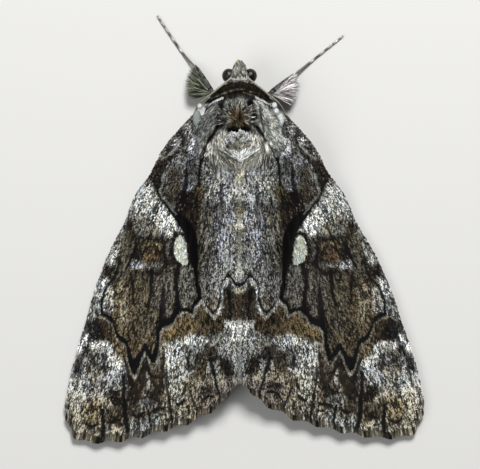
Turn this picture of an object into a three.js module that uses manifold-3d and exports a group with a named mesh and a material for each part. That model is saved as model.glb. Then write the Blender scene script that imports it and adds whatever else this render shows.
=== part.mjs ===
// A resting underwing moth (Catocala), life size, in millimetres.
// +Z is up, +Y runs from the tail to the head and +X is the moth's right side. It stands on its six feet
// at z = 0, with both forewings laid over the body as a low roof. The origin is at the middle of its outline,
// on the ground.
import * as THREE from "three";
import { LoftGeometry } from "three/addons/geometries/LoftGeometry.js";
import { mergeVertices } from "three/addons/utils/BufferGeometryUtils.js";
import Module from "manifold-3d";

const wasm = await Module();
wasm.setup();

// ---------------------------------------------------------------- driving dimensions

const GAP = 0.3; // clear space between one piece and the next
const SWEPT_GAP = 0.52; // the same, where a swept-back shoulder narrows it
const WING_THICKNESS = 0.5;
const VEIN_RISE = 0.12; // how far a vein stands out of the wing's upper face
const VEIN_HALF_WIDTH = 0.3;
const HINDWING_DROP = 1.12; // from the forewing's middle surface down to the hindwing's
const SCALLOP_DEPTH = 0.34; // how far the hind margin dips between two veins
const MARGIN_THICKNESS = 0.6; // share of the wing's thickness that is left at its edge
const MIDDLE = [0.57, -0.2]; // the outline's centre, from the moth's own midline

const SIDES = { left: -1, right: 1 };

const COLOURS = {
  wing: 0x6f675a,
  hindwing: 0xb0482a,
  thorax: 0x8d8676,
  collar: 0x3a3222,
  abdomen: 0x6b5c47,
  head: 0x8a857a,
  eye: 0x14110e,
  leg: 0x8b826c,
  antenna: 0x6a5f48,
};

// Body rings from front to back: place along Y, half width, height of the middle, half height.
const HEAD_RINGS = [
  [17.65, 0.38, 3.9, 0.5],
  [17.45, 0.72, 3.95, 0.98],
  [17.1, 1.0, 4.0, 1.38],
  [16.75, 1.15, 4.05, 1.56],
  [16.45, 1.2, 4.1, 1.5],
  [16.3, 1.05, 4.1, 1.3],
];
const COLLAR_RINGS = [
  [16.0, 1.6, 4.5, 1.9],
  [15.75, 2.2, 4.55, 2.3],
  [15.4, 3.05, 4.65, 2.7],
  [15.05, 4.0, 4.7, 3.0],
];
const THORAX_RINGS = [
  [14.75, 3.5, 4.7, 3.05],
  [14.3, 3.8, 4.7, 3.25],
  [13.2, 3.95, 4.65, 3.4],
  [11.6, 3.9, 4.6, 3.5],
  [10.0, 3.75, 4.5, 3.45],
  [8.6, 3.4, 4.4, 3.25],
  [7.5, 2.8, 4.2, 2.8],
  [6.9, 2.1, 4.0, 2.25],
];
// The collar and the thorax's front curve back by this times the square of the distance out.
const SHOULDER_SWEEP = 0.085;
const SWEEP_FADE = [9, 13.5]; // the stretch of Y over which that curve fades in
const ABDOMEN_RINGS = [
  [6.55, 2.3, 3.3, 2.15],
  [5.6, 2.85, 3.2, 2.45],
  [3.5, 3.0, 3.1, 2.45],
  [0.0, 2.9, 2.8, 2.25],
  [-4.0, 2.6, 2.4, 1.85],
  [-8.0, 2.1, 2.0, 1.45],
  [-11.0, 1.6, 1.7, 1.1],
  [-13.3, 1.1, 1.5, 0.8],
  [-14.9, 0.75, 1.35, 0.5],
  [-15.9, 0.35, 1.25, 0.25],
];
const ABDOMEN_SEGMENTS = 7;
const SEGMENT_STEP = 0.07; // how far each segment's hind rim stands over the next

const EYE = { across: 1.2, along: 16.95, height: 4.0, radius: 0.8 };

// ---------------------------------------------------------------- wing plan and relief

// Wing outlines as seen from above: distance out from the midline, place along Y.
const MIDLINE_EDGE = GAP / 2;
const FOREWING_PLAN = {
  base: [[3.2, 11.2], [4.1, 12.2], [5.0, 12.6]],
  inner: [[3.2, 11.2], [3.5, 9.3], [2.8, 7.7], [1.5, 6.8], [MIDLINE_EDGE, 6.4]],
  innerEnd: [MIDLINE_EDGE, -17.3],
  costa: [
    [5.0, 12.6], [6.9, 10.7], [8.6, 8.6], [9.8, 6.3], [11.6, 3.8], [13.1, 0.3], [14.9, -2.9],
    [16.6, -7.1], [17.7, -10.6], [19.2, -15.3], [20.2, -20.0],
  ],
  margin: [
    [MIDLINE_EDGE, -17.3], [1.2, -18.5], [2.4, -19.9], [4.2, -20.9], [6.0, -21.8], [8.7, -22.6],
    [12.3, -23.5], [15.6, -23.95], [18.6, -23.7], [19.9, -22.2], [20.2, -20.0],
  ],
};
const HINDWING_PLAN = {
  base: [[3.0, 8.4], [3.6, 8.8], [4.1, 9.0]],
  inner: [[3.0, 8.4], [2.2, 7.0], [1.0, 5.9], [0.4, 5.0]],
  innerEnd: [0.4, -14.2],
  costa: [[4.1, 9.0], [6.0, 6.4], [7.6, 3.4], [9.4, -1.0], [11.8, -6.5], [13.4, -12.0]],
  margin: [[0.4, -14.2], [2.4, -16.6], [5.2, -18.2], [8.4, -18.6], [11.6, -16.8], [13.4, -12.0]],
};
const SPREAD = { left: 0.973, right: 1.029 }; // the right wing lies a little further out than the left
const SPREAD_FADE = [8, -12];
const HANG = { left: -0.35, right: 0.15 }; // and the left wing's hind margin reaches a little further back
const HANG_FADE = [-12, -18];

// Where the veins meet the hind margin, as shares of its length from the midline to the wing tip.
const FOREWING_VEINS = [0.07, 0.18, 0.3, 0.41, 0.52, 0.63, 0.74, 0.85, 0.95];
const HINDWING_VEINS = [0.16, 0.34, 0.5, 0.66, 0.83];
const VEIN_START = [0.1, 0.3]; // the veins rise out of the wing over this share of its length
const FOREWING_ROWS = 17;
const HINDWING_ROWS = 11;

// Heights above the ground at places along Y: of the wings at the midline, and of the flatter outer roof
// carried on to the midline.
const RIDGE_HEIGHT = [
  [14, 6.6], [10, 7.0], [7.5, 7.55], [6.4, 7.65], [3, 7.35], [0, 6.9], [-8, 5.4], [-13, 4.3], [-17, 3.5],
  [-24, 2.2],
];
const ROOF_HEIGHT = [[14, 6.2], [8, 5.9], [4, 5.4], [0, 4.8], [-8, 3.7], [-16, 2.7], [-24, 1.8]];
const RIDGE_WIDTH = [[8, 5.2], [0, 5.0], [-8, 4.4], [-16, 3.4], [-24, 3.0]];
const RIDGE_SHOULDER = [0.42, 1.25]; // where the ridge starts to fall and where it ends, in ridge widths
const EDGE_LOW = 0.66; // height of the wing's leading edge over most of its length
const EDGE_HIGH = 4.4; // and at the wing's root
const EDGE_RISE = [-1, 12.5]; // the stretch of Y over which it rises
const ROOF_CURVE = 1.3;
const FOLD_LINE = [[9.4, 4.8], [7.2, 1.8], [5.7, -0.6], [5.0, -3.4], [4.9, -7.5]]; // the dip beside the body
const FOLD_DEPTH = 0.34;
const FOLD_WIDTH = 1.15;

// ---------------------------------------------------------------- legs and feelers

// Joints of each leg: hip, knee and heel, then places along the foot to the toe; each is distance out, Y and
// height.
const TARSUS_RADIUS = [0.3, 0.25];
const SOLE = 0.15; // height of a foot's middle line on the ground, so that its sole is cut off flat
const LEGS = {
  foreleg: {
    left: [[1.3, 14.6, 2.9], [3.1, 15.0, 1.9], [4.8, 18.0, 0.75], [6.6, 20.0, SOLE], [9.2, 23.85, SOLE]],
    right: [[1.3, 14.6, 2.9], [3.45, 14.95, 1.9], [6.1, 17.2, 0.75], [8.6, 19.2, SOLE], [11.6, 21.6, SOLE]],
    thickness: [0.5, 0.42],
    spurs: 0,
  },
  midleg: {
    left: [[1.7, 11.0, 2.2], [5.4, 8.7, 1.6], [8.3, 3.3, 0.62], [9.3, 0.3, SOLE], [9.8, -2.7, SOLE]],
    right: [[1.7, 11.0, 2.2], [5.4, 8.7, 1.6], [8.3, 3.3, 0.62], [9.3, 0.3, SOLE], [9.8, -2.7, SOLE]],
    thickness: [0.52, 0.4],
    spurs: 1,
  },
  hindleg: {
    left: [[1.5, 8.7, 2.0], [4.5, 4.8, 1.2], [7.3, -3.6, 0.6], [8.3, -7.0, SOLE], [8.7, -10.2, SOLE]],
    right: [[1.5, 8.7, 2.0], [4.5, 4.8, 1.2], [7.3, -3.6, 0.6], [8.3, -7.0, SOLE], [8.7, -10.2, SOLE]],
    thickness: [0.55, 0.42],
    spurs: 2,
  },
};
const TARSUS_SHARES = [0.4, 0.2, 0.16, 0.12, 0.12]; // lengths of a foot's five joints
const SPUR = { length: 1.0, width: 0.32, places: [0.97, 0.6], spread: 0.35 };
const LOCK_PROFILE = [[0, 0.7], [0.35, 1], [0.75, 0.72], [1, 0.12]]; // width along a lock, from root to tip
const LOCK_SEED = 7;

// The fan of long scales on a foreleg: where along the shin its locks start, their turn from the shin in degrees
// and their reach, each from the first lock to the last.
const BRUSH = {
  locks: 6, start: [0.06, 0.55], turn: { left: [60, 6], right: [48, 4] }, reach: [3.0, 1.5], width: 1.3,
  thickness: 0.36, droop: 0.5, lowest: 0.5,
};
// The whorl of scales on the front of the thorax, opening backwards.
const WHORL = {
  locks: 7, along: 12.4, inner: 0.1, reach: 1.75, width: 1.15, thickness: 0.5, open: 1.7, rise: 0.5,
};
// Rows of locks of the hind crest: where the roots and the tips lie, how far they spread, and their number.
const CREST_ROWS = [
  { root: 10.9, tip: 8.9, spread: [0.8, 0.75], locks: 3, rise: 0.55, width: 1.15 },
  { root: 9.9, tip: 8.0, spread: [1.25, 0.85], locks: 4, rise: 0.4, width: 1.15 },
  { root: 9.0, tip: 7.3, spread: [0.9, 0.4], locks: 3, rise: 0.3, width: 1.05 },
];
const CREST_THICKNESS = 0.5;
const FRONS_LOCKS = {
  locks: 5, root: [16.9, 5.3], tip: [18.5, 5.1], spread: [0.75, 0.24], width: 0.55, thickness: 0.36,
};

const ANTENNA_ROUTE = [
  [0.85, 16.6, 5.4], [1.45, 16.25, 5.85], [2.35, 15.6, 5.95], [3.25, 14.85, 5.8], [4.4, 13.95, 5.0],
  [5.1, 12.7, 3.6],
];
const ANTENNA_UNDER_WING = [[6.2, 10.2], [7.6, 7.9], [9.1, 5.2], [10.4, 2.8], [11.2, 1.2]];
const ANTENNA_RADIUS = [0.27, 0.25];
const ANTENNA_RINGS = 25;

const PALP_ROUTE = [
  [0.55, 17.2, 2.15], [0.52, 17.8, 2.4], [0.44, 18.12, 3.2], [0.32, 18.33, 4.0], [0.25, 18.54, 4.6],
];
const PALP_RADII = [0.28, 0.34, 0.28, 0.22, 0.12];
const COIL = { along: 16.4, height: 1.55, outer: 0.72, inner: 0.3, turns: 1.25, radius: [0.2, 0.12] };

// The tegula: locks of long scales lying back over a wing root, as the turn round the shoulder at which each
// starts (degrees up from level), and the distance out and place along Y of its tip.
const TEGULA_LOCKS = [[59, 2.6, 8.9], [50, 3.0, 8.1], [37, 3.65, 8.3], [25, 4.3, 9.4]];
const TEGULA = { along: 13.75, clear: 0.6, width: 1.45, thickness: 0.5, rise: 0.3 };
const TAIL_LOCKS = {
  locks: 3, root: [-13.6, 1.45], tip: [-16.3, 1.1], spread: 0.55, width: 0.9, thickness: 0.5,
};

// ---------------------------------------------------------------- solids and curves

function signedVolume(positions, index) {
  const corner = (i) => new THREE.Vector3().fromArray(positions, index[i] * 3);
  let sum = 0;
  for (let i = 0; i < index.length; i += 3) sum += corner(i).dot(corner(i + 1).cross(corner(i + 2)));
  return sum;
}

// A closed geometry as a manifold solid with its faces pointing out.
function solidOf(geometry) {
  const bare = new THREE.BufferGeometry().copy(geometry);
  bare.deleteAttribute("normal");
  bare.deleteAttribute("uv");
  const merged = mergeVertices(bare, 1e-4);
  const positions = merged.attributes.position.array;
  const triangles = new Uint32Array(merged.index.array);
  if (signedVolume(positions, triangles) < 0) triangles.reverse();
  return new wasm.Manifold(new wasm.Mesh({ numProp: 3, vertProperties: positions, triVerts: triangles }));
}

// The largest closed piece of a solid.
function largest(solid) {
  return solid.decompose().sort((a, b) => b.volume() - a.volume())[0];
}

function joined(solids) {
  return solids.reduce((sum, solid) => sum.add(solid));
}

function geometryOf(solid) {
  const mesh = solid.getMesh();
  const geometry = new THREE.BufferGeometry();
  geometry.setAttribute("position", new THREE.BufferAttribute(mesh.vertProperties, 3));
  geometry.setIndex(new THREE.BufferAttribute(mesh.triVerts, 1));
  geometry.computeVertexNormals();
  return geometry;
}

function smooth(low, high, value) {
  if (low < high) return THREE.MathUtils.smoothstep(value, low, high);
  return 1 - THREE.MathUtils.smoothstep(value, high, low);
}

// The value at y of a table of [y, value] rows that run from high y to low y.
function read(table, y) {
  if (y >= table[0][0]) return table[0][1];
  for (let i = 1; i < table.length; i++) {
    const [yHigh, vHigh] = table[i - 1];
    const [yLow, vLow] = table[i];
    if (y >= yLow) return THREE.MathUtils.mapLinear(y, yLow, yHigh, vLow, vHigh);
  }
  return table[table.length - 1][1];
}

function planCurve(points) {
  return new THREE.SplineCurve(points.map(([x, y]) => new THREE.Vector2(x, y)));
}

// Two unit vectors square to a direction, the second as near to +Z as it can be.
function squareTo(direction) {
  const side = new THREE.Vector3().crossVectors(direction, new THREE.Vector3(0, 0, 1));
  if (side.length() < 1e-3) side.set(1, 0, 0);
  side.normalize();
  return [side, new THREE.Vector3().crossVectors(side, direction).normalize()];
}

// Evenly mixed numbers from 0 to 1, the same on every run.
function numbersFrom(seed) {
  let state = seed;
  return () => {
    state = (state * 1664525 + 1013904223) % 4294967296;
    return state / 4294967296;
  };
}

function ring(centre, side, up, halfSide, halfUp, count) {
  return Array.from({ length: count }, (_, i) => {
    const turn = (i / count) * 2 * Math.PI;
    return centre.clone()
      .addScaledVector(side, Math.cos(turn) * halfSide)
      .addScaledVector(up, Math.sin(turn) * halfUp);
  });
}

// A closed solid through convex rings of points, turned so that its walls face out.
function loft(sections) {
  const [first, second] = sections;
  const across = first[1].clone().sub(first[0]).cross(first[2].clone().sub(first[0]));
  const turned = across.dot(second[0].clone().sub(first[0])) < 0;
  const rings = turned ? sections.map((section) => section.toReversed()) : sections;
  return solidOf(new LoftGeometry(rings, { capStart: true, capEnd: true }));
}

// A round rod through points, with a radius at each.
function rod(points, radii, sides) {
  const sections = points.map((point, i) => {
    const before = points[Math.max(0, i - 1)];
    const after = points[Math.min(points.length - 1, i + 1)];
    const [side, up] = squareTo(after.clone().sub(before).normalize());
    return ring(point, side, up, radii[i], radii[i], sides);
  });
  return loft(sections);
}

// A flat tapered lock of scales from root to tip, bowed towards its upper side.
function lock(root, tip, up, width, thickness, rise) {
  const middle = root.clone().lerp(tip, 0.5).addScaledVector(up, rise);
  const path = new THREE.QuadraticBezierCurve3(root, middle, tip);
  const side = tip.clone().sub(root).cross(up).normalize();
  return loft(LOCK_PROFILE.map(([share, size]) => {
    const over = side.clone().cross(path.getTangentAt(share));
    const thick = (thickness / 2) * Math.max(size, 0.3);
    return ring(path.getPointAt(share), side, over, (width / 2) * size, thick, 6);
  }));
}

// A body lofted through rings of [along, half width, middle height, half height], grown by a margin.
function bodySolid(rings, grow, count, sweep = 0) {
  const side = new THREE.Vector3(1, 0, 0);
  const up = new THREE.Vector3(0, 0, 1);
  const last = rings.length - 1;
  return loft(rings.map(([along, half, middle, rise], i) => {
    const outwards = i === 0 ? grow : i === last ? -grow : 0;
    const points = ring(new THREE.Vector3(0, along + outwards, middle), side, up, half + grow, rise + grow, count);
    for (const point of points) point.y -= sweep * point.x ** 2 * smooth(...SWEEP_FADE, along);
    return points;
  }));
}

function jointAt(side, [across, along, height]) {
  return new THREE.Vector3(side * across, along, height);
}

// ---------------------------------------------------------------- wings

const costaTable = FOREWING_PLAN.costa.map(([across, along]) => [along, across]);

// How far a point of the plan lies from the dip beside the body.
function distanceToFold(across, along) {
  const here = new THREE.Vector2(across, along);
  let nearest = Infinity;
  for (let i = 1; i < FOLD_LINE.length; i++) {
    const a = new THREE.Vector2(...FOLD_LINE[i - 1]);
    const b = new THREE.Vector2(...FOLD_LINE[i]);
    const span = b.clone().sub(a);
    const share = THREE.MathUtils.clamp(here.clone().sub(a).dot(span) / span.lengthSq(), 0, 1);
    nearest = Math.min(nearest, here.distanceTo(a.addScaledVector(span, share)));
  }
  return nearest;
}

// Height of the forewing's middle surface over a point of the plan.
function wingHeight(across, along) {
  const out = THREE.MathUtils.clamp(across / read(costaTable, along), 0, 1.05);
  const edge = EDGE_LOW + (EDGE_HIGH - EDGE_LOW) * smooth(...EDGE_RISE, along) ** 1.5;
  const roof = read(ROOF_HEIGHT, along);
  const width = read(RIDGE_WIDTH, along);
  const ridge = 1 - smooth(RIDGE_SHOULDER[0] * width, RIDGE_SHOULDER[1] * width, across);
  const fold = FOLD_DEPTH * Math.exp(-((distanceToFold(across, along) / FOLD_WIDTH) ** 2));
  return edge + (roof - edge) * (1 - out ** ROOF_CURVE) + (read(RIDGE_HEIGHT, along) - roof) * ridge - fold;
}

// A point of the forewing's middle surface and the direction square to it.
function wingSurface(across, along) {
  const step = 0.05;
  const slopeX = (wingHeight(across + step, along) - wingHeight(across - step, along)) / (2 * step);
  const slopeY = (wingHeight(across, along + step) - wingHeight(across, along - step)) / (2 * step);
  return {
    point: new THREE.Vector3(across, along, wingHeight(across, along)),
    normal: new THREE.Vector3(-slopeX, -slopeY, 1).normalize(),
  };
}

// A patch between four edge curves: gives the plan point at share u from root to margin and v from midline to tip.
function planPatch(plan, veins, scallop) {
  const base = planCurve(plan.base);
  const costa = planCurve(plan.costa);
  const margin = planCurve(plan.margin);
  const inner = new THREE.CurvePath();
  inner.add(planCurve(plan.inner));
  inner.add(new THREE.LineCurve(new THREE.Vector2(...plan.inner.at(-1)), new THREE.Vector2(...plan.innerEnd)));
  const stops = [0, ...veins, 1];
  const marginAt = (v) => {
    const next = Math.max(1, stops.findIndex((stop) => stop >= v));
    const share = (v - stops[next - 1]) / (stops[next] - stops[next - 1]);
    const dip = scallop * Math.sin(Math.PI * share) ** 2 * smooth(0, 0.1, v) * smooth(1, 0.93, v);
    const along = margin.getTangentAt(v);
    return margin.getPointAt(v).add(new THREE.Vector2(-along.y, along.x).multiplyScalar(dip));
  };
  const corners = [base.getPointAt(0), base.getPointAt(1), margin.getPointAt(0), margin.getPointAt(1)];
  return (u, v) => {
    const point = inner.getPointAt(u).multiplyScalar(1 - v).addScaledVector(costa.getPointAt(u), v);
    point.addScaledVector(base.getPointAt(v), 1 - u).addScaledVector(marginAt(v), u);
    point.addScaledVector(corners[0], -(1 - u) * (1 - v)).addScaledVector(corners[1], -(1 - u) * v);
    return point.addScaledVector(corners[2], -u * (1 - v)).addScaledVector(corners[3], -u * v);
  };
}

// Grid columns: every vein, a column close by on either side of it, and one halfway to the next vein.
function columnsWith(veins, nearby) {
  const stops = [0, ...veins, 1];
  const columns = [0];
  stops.slice(1).forEach((stop, i) => {
    const before = stops[i];
    if (nearby > 0 && i > 0) columns.push(before + nearby);
    columns.push((before + stop) / 2);
    if (nearby > 0 && stop < 1) columns.push(stop - nearby);
    columns.push(stop);
  });
  return columns;
}

// A closed sheet between two faces that are split into triangles alike.
function sheetSolid(rows, columns, facesAt) {
  const positions = [];
  const index = [];
  const wide = columns.length;
  const faces = rows.map((u) => columns.map((v) => facesAt(u, v)));
  for (const face of ["top", "bottom"]) {
    for (const line of faces) for (const place of line) positions.push(...place[face].toArray());
  }
  const under = rows.length * wide;
  const at = (row, column) => row * wide + column;
  for (let r = 1; r < rows.length; r++) {
    for (let c = 1; c < wide; c++) {
      const [p, q, s, t] = [at(r - 1, c - 1), at(r - 1, c), at(r, c), at(r, c - 1)];
      index.push(p, q, s, p, s, t);
      index.push(under + p, under + s, under + q, under + p, under + t, under + s);
    }
  }
  const rim = [
    ...rows.map((_, r) => at(r, 0)),
    ...columns.slice(1).map((_, c) => at(rows.length - 1, c + 1)),
    ...rows.slice(1).map((_, r) => at(rows.length - 2 - r, wide - 1)),
    ...columns.slice(1, -1).map((_, c) => at(0, wide - 2 - c)),
  ];
  rim.forEach((here, i) => {
    const next = rim[(i + 1) % rim.length];
    index.push(here, next, under + next, here, under + next, under + here);
  });
  const geometry = new THREE.BufferGeometry();
  geometry.setAttribute("position", new THREE.Float32BufferAttribute(positions, 3));
  geometry.setIndex(index);
  return solidOf(geometry);
}

// One wing: its plan laid on the roof, lowered by a drop, with its veins as ridges on the upper face.
function wingSolid(plan, veins, rowCount, sideName, options = {}) {
  const { drop = 0, thickness = WING_THICKNESS, veinRise = VEIN_RISE, scallop = SCALLOP_DEPTH } = options;
  const patch = planPatch(plan, veins, scallop);
  const rows = Array.from({ length: rowCount + 1 }, (_, i) => i / rowCount);
  const nearby = veinRise > 0 ? VEIN_HALF_WIDTH / planCurve(plan.margin).getLength() : 0;
  const isVein = (v) => veins.some((vein) => Math.abs(vein - v) < 1e-6);
  return sheetSolid(rows, columnsWith(veins, nearby), (u, v) => {
    const { x, y } = patch(u, v);
    const { point, normal } = wingSurface(x, y);
    const thin = THREE.MathUtils.lerp(1, MARGIN_THICKNESS, smooth(0.965, 1, u));
    const ridge = isVein(v) ? veinRise * smooth(...VEIN_START, u) : 0;
    const top = point.clone().addScaledVector(normal, (thickness / 2) * thin + ridge - drop);
    const bottom = point.clone().addScaledVector(normal, -(thickness / 2) * thin - drop);
    for (const face of [top, bottom]) {
      const outer = smooth(1, 4, face.x) * smooth(...SPREAD_FADE, face.y);
      face.y += HANG[sideName] * smooth(...HANG_FADE, face.y) * smooth(0, 2, face.x);
      face.x *= SIDES[sideName] * THREE.MathUtils.lerp(1, SPREAD[sideName], outer);
    }
    return { top, bottom };
  });
}

// ---------------------------------------------------------------- body pieces

// The abdomen, with each segment's hind rim a little prouder than the next segment.
function abdomenSolid() {
  const [front, rear] = [ABDOMEN_RINGS[0][0], ABDOMEN_RINGS.at(-3)[0]];
  const rings = [ABDOMEN_RINGS[0]];
  const column = (k) => ABDOMEN_RINGS.map((row) => [row[0], row[k]]);
  for (let i = 1; i <= ABDOMEN_SEGMENTS; i++) {
    const along = THREE.MathUtils.lerp(front, rear, i / ABDOMEN_SEGMENTS);
    for (const [shift, step] of [[0.1, SEGMENT_STEP], [-0.05, -SEGMENT_STEP]]) {
      const y = along + shift;
      rings.push([y, read(column(1), y) + step, read(column(2), y), read(column(3), y) + step]);
    }
  }
  rings.push(...ABDOMEN_RINGS.slice(-2));
  return bodySolid(rings, 0, 16);
}

// Height of the thorax's top over a point of the plan.
function thoraxTop(across, along) {
  const column = (k) => read(THORAX_RINGS.map((row) => [row[0], row[k]]), along);
  return column(2) + column(3) * Math.sqrt(Math.max(0, 1 - (across / column(1)) ** 2));
}

// The whorl and the hind crest of the thorax: locks rooted inside it and lying low along its top.
function crestLocks() {
  const next = numbersFrom(LOCK_SEED);
  const up = new THREE.Vector3(0, 0, 1);
  const onTop = (across, along, over) => new THREE.Vector3(across, along, thoraxTop(across, along) + over);
  const locks = [];
  for (let i = 0; i < WHORL.locks; i++) {
    const turn = Math.PI / 2 + (i / (WHORL.locks - 1) - 0.5) * (2 * Math.PI - WHORL.open);
    const reach = WHORL.reach * (0.9 + 0.2 * next());
    const [sin, cos] = [Math.sin(turn), Math.cos(turn)];
    const root = onTop(WHORL.inner * cos, WHORL.along + WHORL.inner * sin, -WHORL.thickness * 0.2);
    const tip = onTop(reach * cos, WHORL.along + reach * sin, WHORL.thickness * 0.1);
    locks.push(lock(root, tip, up, WHORL.width, WHORL.thickness, WHORL.rise * (1 + next())));
  }
  for (const row of CREST_ROWS) {
    for (let i = 0; i < row.locks; i++) {
      const place = (i / (row.locks - 1)) * 2 - 1;
      const root = onTop(place * row.spread[0], row.root, -CREST_THICKNESS * 0.4);
      const tip = onTop(place * row.spread[1], row.tip + 0.4 * Math.abs(place) + 0.2 * next(), 0.05);
      locks.push(lock(root, tip, up, row.width, CREST_THICKNESS, row.rise * (0.8 + 0.4 * next())));
    }
  }
  return joined(locks);
}

// Locks on the top of the head, lying forward between the feelers.
function fronsLocks() {
  const up = new THREE.Vector3(0, 0, 1);
  const { root, tip, spread, width, thickness, locks } = FRONS_LOCKS;
  return joined(Array.from({ length: locks }, (_, i) => {
    const place = (i / (locks - 1)) * 2 - 1;
    const from = new THREE.Vector3(place * spread[0], root[0], root[1] - 0.35 * place ** 2);
    const to = new THREE.Vector3(place * spread[1], tip[0] - 0.35 * Math.abs(place), tip[1] - 0.5 * place ** 2);
    return lock(from, to, up, width, thickness, 0.12);
  }));
}

function eyeSolid(side, grow) {
  const globe = new THREE.SphereGeometry(EYE.radius + grow, 12, 8);
  return solidOf(globe.translate(side * EYE.across, EYE.along, EYE.height));
}

function tegulaSolid(side) {
  const column = (k) => read(THORAX_RINGS.map((row) => [row[0], row[k]]), TEGULA.along);
  return joined(TEGULA_LOCKS.map(([degrees, across, along]) => {
    const turn = THREE.MathUtils.degToRad(degrees);
    const up = new THREE.Vector3(side * Math.cos(turn), 0, Math.sin(turn));
    const half = column(1) + TEGULA.clear;
    const rise = column(3) + TEGULA.clear;
    const sweep = SHOULDER_SWEEP * (half * Math.cos(turn)) ** 2;
    const height = column(2) + rise * Math.sin(turn);
    const root = new THREE.Vector3(side * half * Math.cos(turn), TEGULA.along - sweep, height);
    const over = WING_THICKNESS / 2 + TEGULA.clear;
    const tip = new THREE.Vector3(side * across, along, wingHeight(across, along) + over);
    return lock(root, tip, up, TEGULA.width, TEGULA.thickness, TEGULA.rise);
  }));
}

// The brush of scales that ends the abdomen.
function tailLocks() {
  const { locks, root, tip, spread, width, thickness } = TAIL_LOCKS;
  return joined(Array.from({ length: locks }, (_, i) => {
    const place = (i / (locks - 1)) * 2 - 1;
    const from = new THREE.Vector3(place * spread * 0.5, ...root);
    const to = new THREE.Vector3(place * spread, tip[0] + 0.4 * Math.abs(place), tip[1]);
    return lock(from, to, new THREE.Vector3(0, 0, 1), width, thickness, 0.1);
  }));
}

// ---------------------------------------------------------------- legs, feelers, palps and tongue

// A leg part between two joints, fullest in its first half.
function limbSolid(from, to, radius) {
  const shape = [[0, 0.6], [0.12, 0.95], [0.4, 1], [0.85, 0.75], [1, 0.6]];
  const line = shape.map(([share]) => from.clone().lerp(to, share));
  return rod(line, shape.map(([, size]) => size * radius), 8);
}

// A foot of five joints, each a little thicker at its far end, down to a flat sole on the ground.
function tarsusSolid(places) {
  const route = new THREE.CatmullRomCurve3(places);
  const points = [route.getPointAt(0)];
  const radii = [TARSUS_RADIUS[0] * 0.8];
  let share = 0;
  TARSUS_SHARES.forEach((length, i) => {
    const size = THREE.MathUtils.lerp(...TARSUS_RADIUS, (i + 1) / TARSUS_SHARES.length);
    for (const [part, swell] of [[0.8, 1.06], [1, 0.86]]) {
      points.push(route.getPointAt(Math.min(1, share + part * length)));
      radii.push(size * swell);
    }
    share += length;
  });
  for (const point of points) point.z = Math.max(SOLE, point.z);
  radii[radii.length - 1] *= 0.6;
  return rod(points, radii, 6);
}

// The fan of long scales on the outer side of a foreleg, spreading from below the knee.
function brushLocks(sideName, knee, heel) {
  const side = SIDES[sideName];
  const next = numbersFrom(LOCK_SEED);
  const up = new THREE.Vector3(0, 0, 1);
  const along = heel.clone().sub(knee).setZ(0).normalize();
  const out = new THREE.Vector3(side * along.y, -side * along.x, 0);
  return Array.from({ length: BRUSH.locks }, (_, i) => {
    const share = i / (BRUSH.locks - 1);
    const root = knee.clone().lerp(heel, THREE.MathUtils.lerp(...BRUSH.start, share));
    const turn = THREE.MathUtils.degToRad(THREE.MathUtils.lerp(...BRUSH.turn[sideName], share));
    const reach = THREE.MathUtils.lerp(...BRUSH.reach, share) * (0.95 + 0.1 * next());
    const tip = root.clone().addScaledVector(out, reach * Math.sin(turn));
    tip.addScaledVector(along, reach * Math.cos(turn));
    tip.z = Math.max(BRUSH.lowest, root.z - BRUSH.droop);
    return lock(root, tip, up, BRUSH.width, BRUSH.thickness, 0.15 + 0.1 * next());
  });
}

// Pairs of spurs on a leg's lower part.
function spurSolids(knee, heel, pairs) {
  const ahead = heel.clone().sub(knee).normalize();
  const up = new THREE.Vector3(0, 0, 1);
  const aside = ahead.clone().cross(up).normalize();
  return SPUR.places.slice(0, pairs).flatMap((share) => [-1, 1].map((hand) => {
    const root = knee.clone().lerp(heel, share);
    const tip = root.clone().addScaledVector(ahead, SPUR.length).addScaledVector(aside, hand * SPUR.spread);
    tip.z = Math.max(tip.z, SPUR.width);
    return lock(root, tip, up, SPUR.width, SPUR.width, 0);
  }));
}

function legSolid(name, sideName, clearance) {
  const side = SIDES[sideName];
  const { thickness, spurs } = LEGS[name];
  const [hip, knee, heel, ...foot] = LEGS[name][sideName].map((joint) => jointAt(side, joint));
  const parts = [
    limbSolid(hip, knee, thickness[0]),
    limbSolid(knee.clone().lerp(hip, 0.08), heel, thickness[1]),
    tarsusSolid([heel.clone().lerp(knee, 0.05), ...foot]),
  ];
  if (name === "foreleg") parts.push(...brushLocks(sideName, knee, heel));
  parts.push(...spurSolids(knee, heel, spurs));
  return largest(joined(parts).subtract(clearance).trimByPlane([0, 0, 1], 0));
}

function antennaSolid(side) {
  const lowered = ANTENNA_UNDER_WING.map(([across, along]) => {
    const { point, normal } = wingSurface(across, along);
    const drop = WING_THICKNESS / 2 + GAP + ANTENNA_RADIUS[0] + 0.1;
    const place = point.addScaledVector(normal, -drop);
    return [place.x, place.y, Math.max(place.z, ANTENNA_RADIUS[1] + 0.05)];
  });
  const route = [...ANTENNA_ROUTE, ...lowered].map((place) => jointAt(side, place));
  const points = new THREE.CatmullRomCurve3(route).getSpacedPoints(ANTENNA_RINGS);
  const radii = points.map((_, i) => THREE.MathUtils.lerp(...ANTENNA_RADIUS, i / ANTENNA_RINGS));
  return rod(points, radii, 6);
}

function palpSolid(side) {
  const steps = 9;
  const route = new THREE.CatmullRomCurve3(PALP_ROUTE.map((place) => jointAt(side, place)));
  const sizes = PALP_RADII.map((radius, i) => [1 - i / (PALP_RADII.length - 1), radius]);
  const radii = Array.from({ length: steps + 1 }, (_, i) => read(sizes, 1 - i / steps));
  return rod(route.getPoints(steps), radii, 10);
}

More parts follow.
